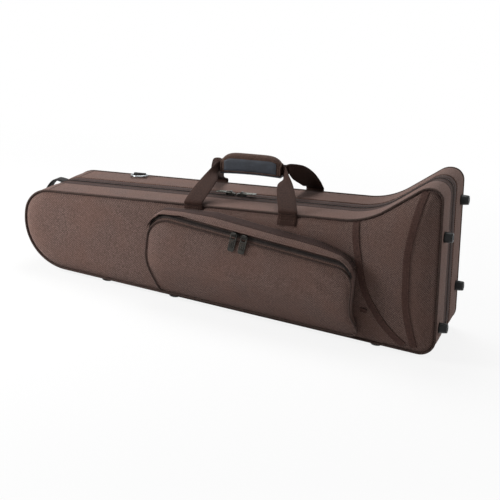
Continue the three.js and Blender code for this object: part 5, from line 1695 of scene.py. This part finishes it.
@dataclass
class FaceTrim(SubAssembly):
    """Bands sewn on the bell part, the side tab, and the straps' sewn ends."""

    band_half: float = 6.8
    band_thickness: float = 1.4
    tab_x: tuple = (283.5, 296.5)
    tab_z: float = 73.0
    tab_bow: float = 0.8
    tab_half: float = 4.0
    tab_thickness: float = 3.0
    strap_half: float = 19.0
    strap_thickness: float = 1.8
    strap_gap: float = 0.8
    strap_start: float = 0.55
    over_piping: float = 114.5
    # Share of the trough's distance behind the bell end, and share of the height there
    valley_knots: tuple = (
        (1.099, 0.985), (1.056, 0.823), (0.980, 0.629), (0.883, 0.431),
        (0.772, 0.301), (0.614, 0.165), (0.462, 0.080), (0.355, 0.040),
    )
    bell_knots: tuple = (
        (0.405, 0.986), (0.437, 0.889), (0.462, 0.756), (0.470, 0.607),
        (0.442, 0.454), (0.401, 0.303), (0.330, 0.169), (0.239, 0.041),
    )

    def outline_top(self, x: float) -> float:
        """Height of the outline's upper side.

        Args:
            x: Place along the case.

        Returns:
            Its Z.
        """
        ring = self.shell.outline.ring()
        after = np.roll(ring, -1, axis=0)
        with np.errstate(divide="ignore", invalid="ignore"):
            share = (x - ring[:, 0]) / (after[:, 0] - ring[:, 0])
        hit = (share >= 0) & (share < 1)
        return float((ring[:, 1] + (after[:, 1] - ring[:, 1]) * share)[hit].max())

    def band_path(self, knots: tuple) -> np.ndarray:
        """Smooth path of a band.

        Args:
            knots: Its places as shares of the bell part's length and height.

        Returns:
            Points in X and Z.
        """
        spots, low = [], self.shell.bottom_z
        for back, up in knots:
            x = self.shell.bell_x - back * self.shell.trough_back
            spots.append([x, low + up * (self.outline_top(x) - low)])
        return even(spline(np.array(spots), 8), 4.0)

    def build(self) -> None:
        """Builds the trim."""
        looks = self.looks
        for name, knots in (("valley", self.valley_knots), ("bell", self.bell_knots)):
            skin, rows = self.shell.strip(-1, self.band_path(knots), self.band_half, self.band_thickness)
            self.case.piece(f"{name}_seam_band", skin, looks.tape, FRONT, (f"{name}_band",))
            self.repeat.run(f"{name}_band_stitches", rows, STITCH, looks.thread, FRONT)
        x, z = np.linspace(*self.tab_x, 9), self.tab_z + self.tab_bow * np.sin(np.linspace(0, math.pi, 9))
        skin, _ = self.shell.strip(-1, np.stack([x, z], axis=1), self.tab_half, self.tab_thickness)
        self.case.piece("folded_side_tab", skin, looks.tape, FRONT, ("side_tab",))
        for half, side, feet, lengths in (
            ("front", -1, FRONT_FEET, (7.5, 20.0)),
            ("rear", 1, REAR_FEET, (30.0, 30.0)),
        ):
            for label, u, length in zip(("left", "right"), feet, lengths):
                self.build_strap_end(f"{half}_strap_end_{label}", side, f"{half}_half", u, length)

    def build_strap_end(self, name: str, side: int, body: str, u: float, length: float) -> None:
        """Builds the sewn end of a strap.

        Args:
            name: CAD node that it stands for.
            side: Side of the face that it is sewn on.
            body: Body that it rides on.
            u: Its place along the top edge.
            length: How far it reaches down.
        """
        steps = np.linspace(self.strap_start, self.strap_start + length, max(5, round(length / 2)))
        path = np.array([self.edge.at(u, 0, -v)[[0, 2]] for v in steps])
        half, thickness = self.strap_half, self.strap_thickness
        skin, rows = self.shell.strip(side, path, half, thickness, self.strap_gap, self.over_piping)
        self.case.piece(f"{name}_sewn", skin, self.looks.webbing, body, (name,))
        rows += self.cross_rows(rows)
        self.repeat.run(f"{name}_stitches", rows, STITCH, self.looks.thread, body, Slot.WEBBING)

    @staticmethod
    def cross_rows(rows: Rows) -> Rows:
        """Rows of stitches across a strap's end.

        Args:
            rows: The rows along its two edges.

        Returns:
            One at its lower edge, and a second one above it.
        """
        (left, ups), (right, _) = rows
        out = []
        for k in (-1, len(left) // 2):
            way = np.linspace(left[k], right[k], 9)
            way[1:-1, 1] += np.sign(ups[0][1]) * 0.25
            out.append((way, np.tile(ups[0], (9, 1))))
        return out


@dataclass
class CarryHandle(SubAssembly):
    """Two webbing loops and the padded wrap that holds them together, in the top edge's frame."""

    centre_u: float = 3.5
    half_length: float = 63.0
    front_y: float = -17.0
    rear_y: float = 5.0
    top_v: float = 89.0
    end_drop: float = 15.0
    bottom_v: float = 52.0
    arch: float = 2.0
    dome: float = 10.0
    sag: float = 0.9
    slot_front: float = -10.0
    slot_rear: float = -1.0
    slot_top: float = 71.5
    slot_roof: float = 1.8
    slot_corner: float = 1.5
    end_binding: float = 1.7
    long_binding: float = 1.3
    flap_thickness: float = 3.0
    leather_from: float = -0.88
    leather_to: float = 0.86
    leather_top: float = 79.0
    # Depth of the leather's creases, and their length and height
    crease: tuple = (0.22, 34.0, 7.0)
    foot_v: float = 0.4
    foot_y: float = 115.5
    leg_swing: float = 9.0
    strap_half: float = 19.0
    run_half: float = 9.0
    run_v: float = 61.2
    rear_slack: float = 1.2
    strap_thickness: float = 2.0
    strap_side: tuple = ((-1, -0.4), (-0.95, -1), (-0.5, -1), (0, -1), (0.5, -1), (0.95, -1), (1, -0.4))
    # Shares for each station of a leg: way to the edge in Y, height, widening, swing past the
    # straight way, twist to lying along the edge
    front_leg: tuple = (
        (0, 1, 0, 0.45, 0.1),
        (0.18, 0.88, 0, 0.55, 0.3),
        (0.4, 0.69, 0.65, 0.2, 0.95),
        (0.68, 0.44, 1, 0.05, 1),
        (0.9, 0.22, 1, 0, 1),
        (1, 0.09, 1, 0, 1),
        (1, 0, 1, 0, 1),
    )
    rear_leg: tuple = (
        (0, 1, 0, 0.4, 0.1),
        (0.08, 1.02, 0.05, 0.7, 0.2),
        (0.31, 0.82, 0.9, 1, 0.4),
        (0.58, 0.56, 1, 0.95, 0.5),
        (0.81, 0.31, 1, 0.5, 0.75),
        (0.93, 0.18, 1, 0.2, 0.95),
        (1, 0.09, 1, 0, 1),
        (1, 0, 1, 0, 1),
    )

    def u_at(self, share: float) -> float:
        """Place along the edge at a share of the wrap's half length."""
        return self.centre_u + share * self.half_length

    def top_at(self, share: float) -> float:
        """Height of the wrap's top at a share of its half length."""
        return self.top_v - self.end_drop * abs(share) ** 6

    def bottom_at(self, share: float) -> float:
        """Height of the wrap's open lower edge."""
        return self.bottom_v - self.arch * share**2

    def section(self, share: float) -> list[tuple[float, float]]:
        """Section of the wrap: outer side over the top, then the slot for the strap.

        Args:
            share: Place along the wrap as a share of its half length.

        Returns:
            Places in Y and v.
        """
        top, bottom = self.top_at(share), self.bottom_at(share)
        pinch = 1.0 * abs(share) ** 8
        front, rear = self.front_y + pinch, self.rear_y - pinch
        middle, half = (front + rear) / 2, (rear - front) / 2
        knee = top - self.dome
        spots = []
        for t in np.linspace(0, 1, 7):
            bow = self.sag * math.sin(math.pi * t) * (1 - abs(share) ** 4)
            spots.append((front - bow, bottom + (knee - bottom) * t))
        for angle in (math.pi * (1 - k / 12) for k in range(1, 12)):
            spots.append((middle + half * math.cos(angle), knee + self.dome * math.sin(angle) ** 0.8))
        spots += [(rear, bottom + (knee - bottom) * t) for t in np.linspace(1, 0, 7)]
        near, far, cut = self.slot_rear, self.slot_front, self.slot_corner
        roof = min(self.slot_top, top - self.slot_roof)
        spots += [(near, bottom), (near, roof - cut), (near - cut, roof)]
        return spots + [(far + cut, roof), (far, roof - cut), (far, bottom)]

    def stations(self) -> np.ndarray:
        """Shares along the wrap, closer together at its ends."""
        return np.sin(np.linspace(-math.pi / 2, math.pi / 2, 45))

    def build_wrap(self) -> None:
        """Builds the padded wrap, its leather panels, its bindings and its closing flap."""
        looks = self.looks
        skin = loft([self.edge.through(self.u_at(share), self.section(share)) for share in self.stations()])
        wrap = self.case.piece("grip_padding", skin, looks.grip_cloth, HANDLE, ("grip_wrap",), 50)
        for name, side in (("front", -1), ("rear", 1)):
            panel = self.leather_skin(side)
            leather = self.case.piece(f"grip_leather_{name}", panel, looks.leather, HANDLE, sharp=55)
        self.build_bindings()
        self.build_flap()

    def leather_skin(self, side: int) -> Skin:
        """Leather panel let into the wrap, puffed between its sewn edges.

        Args:
            side: Side of the wrap.

        Returns:
            The panel.
        """
        rows = []
        for share in np.linspace(self.leather_from, self.leather_to, 34):
            u = self.u_at(share)
            low = self.bottom_at(share) + 1.0
            high = min(self.top_at(share) - 9.0, self.leather_top)
            ends = min(16 * (share - self.leather_from), 16 * (self.leather_to - share))
            outer, inner = [], []
            for t in np.linspace(0, 1, 12):
                v = low + (high - low) * t
                base = self.rear_y
                if side < 0:
                    bow = self.sag * math.sin(math.pi * (v - self.bottom_v) / 30)
                    base = self.front_y - bow * (1 - abs(share) ** 4)
                rim = min(1.0, 6 * t, 6 * (1 - t), ends)
                deep, long, high_v = self.crease
                crease = deep * noise.noise(Vector((u / long, v / high_v, 4.0 + side)))
                outer.append((base + side * (0.25 + 1.0 * max(rim, 0.0) ** 0.5 + crease * rim), v))
                inner.append((base + side * 0.1, v))
            rows.append(self.edge.through(u, outer + inner[::-1]))
        return loft(rows)

    def build_bindings(self) -> None:
        """Builds the bound edges of the wrap: round both ends and along its two lower edges."""
        cords = []
        for share in (-1.0, 1.0):
            u = self.centre_u + share * (self.half_length - 0.9)
            path = self.edge.through(u, self.section(share)[:25])
            cords.append(self.cord_skin(even(path, 2.5), self.end_binding))
        for y in (self.front_y - 0.3, self.rear_y + 0.3):
            shares, radius = np.linspace(-0.97, 0.97, 40), self.long_binding
            path = [self.edge.at(self.u_at(s), y, self.bottom_at(s) + radius) for s in shares]
            cords.append(self.cord_skin(np.array(path), radius))
        skin = cords[0]
        for cord in cords[1:]:
            skin = skin.joined_to(cord)
        self.case.piece("grip_binding", skin, self.looks.grip_cloth, HANDLE)

    @staticmethod
    def cord_skin(path: np.ndarray, radius: float) -> Skin:
        """Round cord with rounded ends.

        Args:
            path: Open path that it follows.
            radius: Its radius.

        Returns:
            The cord.
        """
        ways = unit(np.gradient(path, axis=0))
        helper = np.array([0.0, 1.0, 0.0])
        if abs(float(np.dot(ways[len(ways) // 2], helper))) > 0.8:
            helper = np.array([1.0, 0.0, 0.0])
        rings = []
        side = unit(np.cross(ways[0], helper))
        for i, (p, w) in enumerate(zip(path, ways)):
            side = unit(side - w * float(np.dot(side, w)))
            over = np.cross(w, side)
            size = radius * (0.45 if i in (0, len(path) - 1) else 1.0)
            rings.append(np.array([p + size * (side * c + over * s) for c, s in circle(8)]))
        return loft(rings)

    def build_flap(self) -> None:
        """Builds the flap that closes the wrap from below."""
        front, rear = self.front_y + 0.4, self.rear_y - 0.4
        rings = []
        for share in self.stations():
            top = self.bottom_at(share) - 0.3
            low = top - self.flap_thickness
            spots = [(front + 0.8, low), (0.5 * (front + rear), low - 0.3), (rear - 0.8, low)]
            spots += [(rear, low + 0.9), (rear, top - 0.6), (rear - 0.7, top)]
            spots += [(front + 0.7, top), (front, top - 0.6), (front, low + 0.9)]
            rings.append(self.edge.through(self.u_at(share), spots))
        flap = self.case.piece(
            "grip_closing_flap", loft(rings), self.looks.leather, "grip_closure", ("grip_flap",), 50
        )

    def leg(self, side: int, run_y: float, end_u: float, foot_u: float, inward: int, shares: tuple) -> list:
        """Stations of one leg of a loop.

        Args:
            side: Side that it goes down on.
            run_y: Y of the loop along the wrap.
            end_u: Where it leaves the wrap.
            foot_u: Where it meets the case.
            inward: Way along the edge from it to the wrap's middle.
            shares: Shares of each station.

        Returns:
            For each station its middle, half width and half thickness.
        """
        places = []
        for deep, height, _, swing, _ in shares:
            u = end_u + (foot_u - end_u) * deep - inward * swing * self.leg_swing
            y = run_y + (side * self.foot_y - run_y) * deep
            places.append(self.edge.at(u, y, self.foot_v + (self.run_v - self.foot_v) * height))
        out = []
        for i, (_, _, wide, _, twist) in enumerate(shares):
            along = unit(places[min(i + 1, len(places) - 1)] - places[max(i - 1, 0)])
            turn = twist * math.pi / 2
            across = self.edge.along * inward * math.sin(turn) - self.edge.out * math.cos(turn)
            across = unit(across + along * (twist - 1) * float(np.dot(across, along)))
            thick = unit(np.cross(along, across)) * (-side * inward * self.strap_thickness / 2)
            half = self.run_half + (self.strap_half - self.run_half) * wide
            out.append(np.concatenate([places[i], across * half, thick]))
        return out

    def loop_skin(self, side: int, run_y: float, feet: tuple[float, float], shares: tuple) -> Skin:
        """Loop of webbing from a foot on the edge, along the wrap, to the other foot.

        Args:
            side: Side that its legs go down on.
            run_y: Its Y along the wrap.
            feet: Where its left and right foot stand.
            shares: Shares of each station of a leg.

        Returns:
            The loop.
        """
        ends = (self.u_at(-1.0), self.u_at(1.0))
        width = -self.edge.out * self.run_half
        depth = np.array([0.0, side * self.strap_thickness / 2, 0.0])
        run = [np.concatenate([self.edge.at(u, run_y, self.run_v), width, depth]) for u in ends]
        left = self.leg(side, run_y, ends[0], feet[0], 1, shares)[::-1]
        right = self.leg(side, run_y, ends[1], feet[1], -1, shares)
        rings = []
        for row in spline(np.array([*left, *run, *right]), 8):
            middle, width, depth = row[:3], row[3:6], row[6:]
            depth = unit(depth) * self.strap_thickness / 2
            rings.append(np.array([middle + width * a + depth * b for a, b in two_faced(self.strap_side)]))
        return loft(rings)

    def build(self) -> None:
        """Builds the whole handle."""
        webbing = self.looks.webbing
        run_front = (self.slot_front + self.slot_rear) / 2
        run_rear = self.rear_y + 0.3 + self.rear_slack + self.strap_thickness / 2
        front = self.loop_skin(-1, run_front, FRONT_FEET, self.front_leg)
        self.case.piece("front_loop", front, webbing, HANDLE, ("front_strap",), 60)
        rear = self.loop_skin(1, run_rear, REAR_FEET, self.rear_leg)
        self.case.piece("rear_loop", rear, webbing, "rear_handle", ("rear_strap",), 60)
        self.build_wrap()


@dataclass
class EndFittings(SubAssembly):
    """Ring on the rear top edge, grab loop on the narrow end, and the rubber feet."""

    ring_u: float = -279.0
    bar_y: float = 86.0
    bar_v: float = 5.2
    ring_half: float = 17.0
    wire: float = 2.2
    tab_edge: float = 0.5
    tab_stitch_u: float = 9.0
    tab_stitch_y: tuple = (94.5, 98.0, 101.0, 103.5)
    tab_stitch_v: float = 2.4
    grab_y: float = 54.0
    grab_half: float = 14.0
    grab_thickness: float = 3.2
    grab_reach: float = 46.2
    grab_gap: float = 0.3
    grab_seat: float = 0.4
    grab_angles: tuple = (140, 224)
    # Share of the way between its feet, and shares of its reach out and up
    grab_bends: tuple = ((0.2, (-0.62, 0.3)), (0.5, (-1.0, 0.0)), (0.8, (-0.7, -0.2)))
    grab_side: tuple = ((-1, -0.3), (-0.93, -1), (-0.4, -1), (0.4, -1), (0.93, -1), (1, -0.3))
    # Radius and height of the turned feet, and where they stand
    tall_foot: tuple = (
        (7.6, 0.0), (10.4, 0.0), (10.5, 0.6), (10.3, 3.0), (9.9, 9.0), (9.3, 15.2),
        (8.9, 16.3), (8.0, 16.9), (7.2, 17.0), (5.4, 17.0), (5.0, 16.2), (2.0, 16.0),
    )
    short_foot: tuple = ((8.0, 0.0), (9.6, 0.0), (10.6, 0.5), (11.0, 1.6), (11.0, 6.4), (10.7, 7.4), (9.0, 7.7))
    bell_feet: tuple = (
        ("front_upper", -1, 0.7116), ("front_lower", -1, 0.1599),
        ("rear_upper", 1, 0.8276), ("rear_lower", 1, 0.279),
    )
    bell_feet_y: float = 84.0
    bottom_feet: tuple = (("narrow", -252.0), ("middle", -103.0), ("bell", 318.0))
    bottom_feet_y: float = 92.0

    def build_ring(self) -> None:
        """Builds the half ring of bright wire, and the webbing tab that holds its bar."""
        way = []
        for k in range(33):
            angle = math.pi * k / 32
            y = self.bar_y if k in (0, 32) else self.bar_y - self.wire - self.ring_half * math.sin(angle)
            way.append([self.ring_half * math.cos(angle), y])
        bar = [[-self.ring_half + 2 * self.ring_half * k / 8, self.bar_y] for k in range(1, 8)]
        line = np.array(way + bar)
        ways = unit(np.roll(line, -1, axis=0) - np.roll(line, 1, axis=0))
        rings = []
        for p, (run_x, run_y) in zip(line, ways):
            spots = []
            for c, s in circle(12):
                u, y = self.ring_u + p[0] + run_y * self.wire * c, p[1] - run_x * self.wire * c
                spots.append(self.edge.at(u, y, self.bar_v + self.wire * s))
            rings.append(np.array(spots))
        ring = loft(rings, Ends.JOINED)
        self.case.piece("half_ring", ring, self.looks.bright, "strap_ring", ("strap_ring",))
        self.case.softened("ring_tab", self.looks.dark_webbing, REAR, self.tab_edge, 2)
        rows = []
        for u in (self.ring_u - self.tab_stitch_u, self.ring_u + self.tab_stitch_u):
            way = self.edge.through(u, [(y, self.tab_stitch_v) for y in self.tab_stitch_y])
            rows.append((way, np.tile(self.edge.out, (len(way), 1))))
        self.repeat.run("ring_tab_stitches", rows, STITCH, self.looks.thread, REAR, Slot.DARK_WEBBING)

    def grab_foot(self, angle: float) -> tuple[np.ndarray, np.ndarray]:
        """Place of a foot of the grab loop on the narrow end.

        Args:
            angle: Where it stands, seen from the middle of the upper corner, in degrees.

        Returns:
            The place in X and Z, and the way out of the case.
        """
        shell, radius = self.shell, self.shell.radii[-1]
        centre = np.array([shell.narrow_x + radius, shell.bottom_z + shell.narrow_height - radius])
        turn = math.radians(angle)
        way = np.array([math.cos(turn), math.sin(turn)])
        ring = shell.outline.ring()
        for p, q in zip(ring, np.roll(ring, -1, axis=0)):
            edge, gap = q - p, p - centre
            cross = way[0] * edge[1] - way[1] * edge[0]
            if abs(cross) < 1e-9:
                continue
            along = (gap[0] * edge[1] - gap[1] * edge[0]) / cross
            share = (gap[0] * way[1] - gap[1] * way[0]) / cross
            if along > 0 and 0 <= share < 1:
                return centre + way * along, unit(np.array([edge[1], -edge[0]]))
        raise ValueError("no place on the narrow end at this angle")

    def build_grab(self) -> None:
        """Builds the webbing loop on the narrow end."""
        (upper, upper_out), (lower, lower_out) = (self.grab_foot(angle) for angle in self.grab_angles)
        lift = self.grab_gap + self.grab_thickness / 2 + self.grab_seat
        bends = [upper + (lower - upper) * s + np.array(bend) * self.grab_reach for s, bend in self.grab_bends]
        knots = np.array([upper + upper_out * lift, *bends, lower + lower_out * lift])
        path = even(spline(knots, 12), 3.0)
        rings = []
        for p, w in zip(path, unit(np.gradient(path, axis=0))):
            out = np.array([-w[1], w[0]]) * self.grab_thickness / 2
            spots = [(p + out * b, self.grab_y + a * self.grab_half) for a, b in two_faced(self.grab_side)]
            rings.append(np.array([[flat[0], y, flat[1]] for flat, y in spots]))
        self.case.piece("narrow_end_loop", loft(rings), self.looks.dark_webbing, REAR, ("grab_loop",), 60)

    def foot_skin(self, base: np.ndarray, out: np.ndarray, profile: tuple) -> Skin:
        """Turned foot.

        Args:
            base: Middle of its seat.
            out: Way that it points.
            profile: Its pairs of radius and height.

        Returns:
            The foot.
        """
        side = unit(np.cross(out, np.array([0.0, 1.0, 0.0])))
        over = np.cross(out, side)
        rings = []
        for radius, height in profile:
            spokes = [base + out * height + radius * (side * c + over * s) for c, s in circle(32)]
            rings.append(np.array(spokes))
        return loft(rings)

    def build_feet(self) -> None:
        """Builds the feet on the bell end's wall and under the case."""
        shell, lean = self.shell, self.shell.wall_lean
        out, up = np.array([math.cos(lean), 0.0, math.sin(lean)]), np.array([0.0, 0.0, 1.0])
        feet = []
        for label, side, share in self.bell_feet:
            rise = share * shell.bell_height
            x = shell.bell_x - rise * math.tan(lean)
            base = np.array([x, side * self.bell_feet_y, shell.bottom_z + rise]) + out * 0.3
            feet.append((f"bell_foot_{label}", side, self.foot_skin(base, out, self.tall_foot)))
        for label, x in self.bottom_feet:
            for half, side in (("front", -1), ("rear", 1)):
                base = np.array([x, side * self.bottom_feet_y, 0.0])
                feet.append((f"bottom_foot_{half}_{label}", side, self.foot_skin(base, up, self.short_foot)))
        for name, side, skin in feet:
            body = REAR if side > 0 else FRONT
            self.case.piece(f"{name}_moulded", skin, self.looks.rubber, body, (name,), 50)

    def build(self) -> None:
        """Builds the end fittings."""
        self.build_ring()
        self.build_grab()
        self.build_feet()


@dataclass
class Interior(SubAssembly):
    """Velour-covered fittings that hold the instrument, and the straps over it."""

    # CAD node, its body and the radius of its edges
    fittings: tuple = (
        ("slide_saddle_left", REAR, 2.5),
        ("slide_saddle_right", REAR, 2.5),
        ("bell_neck_cradle", REAR, 2.5),
        ("tuning_slide_cradle", REAR, 2.5),
        ("bell_rim_pad", REAR, 2.0),
        ("accessory_box", REAR, 1.0),
        ("accessory_lid", "accessory_lid", 1.0),
        ("mouthpiece_holder", REAR, 2.0),
        ("lid_pad", FRONT, 6.0),
    )
    strap_edge: float = 0.4

    def build(self) -> None:
        """Builds the fittings with rounded edges."""
        for node, body, edge in self.fittings:
            made = self.case.softened(node, self.looks.plush, body, edge)
        for node in ("neck_hold_strap", "slide_hold_strap"):
            self.case.softened(node, self.looks.dark_webbing, node, self.strap_edge, 2)


@dataclass
class Studio:
    """Camera at the photograph's place, white floor and soft light."""

    camera_at: tuple = (0.7334, -2.3564, 0.8476)
    right: tuple = (0.93854, 0.31948, 0.1306)
    up: tuple = (-0.21214, 0.23555, 0.94847)
    lens: float = 91.41
    sensor: float = 36.0
    floor_half: float = 40.0
    # Metres from the case where the floor starts to fade and is white, and its white near the case
    fade: tuple = (0.5, 1.6, 0.86)
    fill_light: float = 0.1
    # Name, place, aim, width and power of each lamp
    lamps: tuple = (
        ("key", (-1.5, -0.85, 0.7), (-0.3, -0.1, 0.12), 0.7, 30.0),
        ("end", (1.9, 0.25, 0.75), (0.42, 0.0, 0.18), 0.8, 9.0),
        ("top", (-0.4, 0.6, 1.8), (-0.1, 0.0, 0.2), 1.1, 27.0),
    )

    def build(self) -> None:
        """Sets up the view."""
        scene = bpy.context.scene
        lens = bpy.data.cameras.new("photo_camera")
        tune(lens, {"lens": self.lens, "sensor_width": self.sensor})
        camera = add_object("photo_camera", lens)
        right, up = unit(np.array(self.right)), unit(np.array(self.up))
        up = unit(up - right * float(np.dot(up, right)))
        turn = Matrix(np.array([right, up, np.cross(right, up)]).T.tolist()).to_4x4()
        camera.matrix_world = Matrix.Translation(self.camera_at) @ turn
        scene.camera = camera
        scene.view_settings.view_transform = "Standard"
        self.build_floor()
        self.build_lights()

    @staticmethod
    def seen(tree: bpy.types.NodeTree) -> bpy.types.NodeSocket:
        """Tells rays of the camera, also through gloss or glass, from rays that light the scene.

        Args:
            tree: Tree that gets the nodes.

        Returns:
            Socket that is 1 for the camera's rays.
        """
        rays = add_node(tree, "ShaderNodeLightPath").outputs
        found = rays["Is Camera Ray"]
        for kind in ("Is Glossy Ray", "Is Transmission Ray"):
            found = add_node(tree, MATH, {"operation": "MAXIMUM"}, {0: found, 1: rays[kind]}).outputs[0]
        return found

    def build_floor(self) -> None:
        """Makes the pale floor, which the camera sees as white paper that still takes a shadow."""
        made, tree, shader = start_material("white_paper_floor")
        feed(shader, {"Base Color": linear("f4f4f4"), "Roughness": 0.9})
        glow = add_node(tree, "ShaderNodeEmission", inputs={"Color": (1, 1, 1, 1), "Strength": 1.0})
        place = add_node(tree, PLACE).outputs["Object"]
        away = add_node(tree, "ShaderNodeVectorMath", {"operation": "LENGTH"}, {0: place}).outputs["Value"]
        near, far, pale = self.fade
        fade = {"Value": away, 1: near, 2: far, 3: pale, 4: 1.0}
        white = add_node(tree, RANGE, {"interpolation_type": "SMOOTHSTEP"}, fade).outputs[0]
        share = add_node(tree, MATH, {"operation": "MULTIPLY"}, {0: self.seen(tree), 1: white})
        both = {0: share.outputs[0], 1: shader.outputs[0], 2: glow.outputs[0]}
        blend = add_node(tree, "ShaderNodeMixShader", inputs=both)
        feed(tree.nodes["Material Output"], {"Surface": blend.outputs[0]})
        grain = add_node(tree, NOISE, inputs={"Scale": 300.0})
        bump = add_node(tree, "ShaderNodeBump", inputs={"Strength": 0.05, "Height": grain.outputs["Fac"]})
        feed(shader, {"Normal": bump.outputs["Normal"]})
        mesh, size = bpy.data.meshes.new("paper_floor"), self.floor_half
        corners = [(-size, -size, 0), (size, -size, 0), (size, size, 0), (-size, size, 0)]
        mesh.from_pydata(corners, [], [(0, 1, 2, 3)])
        mesh.materials.append(made)
        floor = add_object("paper_floor", mesh)

    def build_lights(self) -> None:
        """Sets a world that the camera sees white and that lights little, and the soft lamps."""
        world = bpy.data.worlds.new("studio")
        bpy.context.scene.world = world
        world.use_nodes = True
        tree = world.node_tree
        strength = add_node(tree, RANGE, inputs={"Value": self.seen(tree), 3: self.fill_light, 4: 1.0})
        feed(tree.nodes["Background"], {"Color": (1, 1, 1, 1), "Strength": strength.outputs[0]})
        for name, at, aim, size, power in self.lamps:
            lamp = bpy.data.lights.new(name, "AREA")
            tune(lamp, {"size": size, "energy": power})
            turn = (Vector(aim) - Vector(at)).to_track_quat("-Z", "Y").to_euler()
            tune(add_object(name, lamp), {"location": at, "rotation_euler": turn})


def main() -> None:
    """Builds the dressed case and its studio in order."""
    case = CaseFrame()
    shell = CaseBody(case, PathRepeater(case))
    shell.build()
    for part in (Pocket, MainZipFittings, FaceTrim, CarryHandle, EndFittings, Interior):
        log.info("building %s", part.__name__)
        part(shell).build()
    Studio().build()


if __name__ == "__main__":
    main()
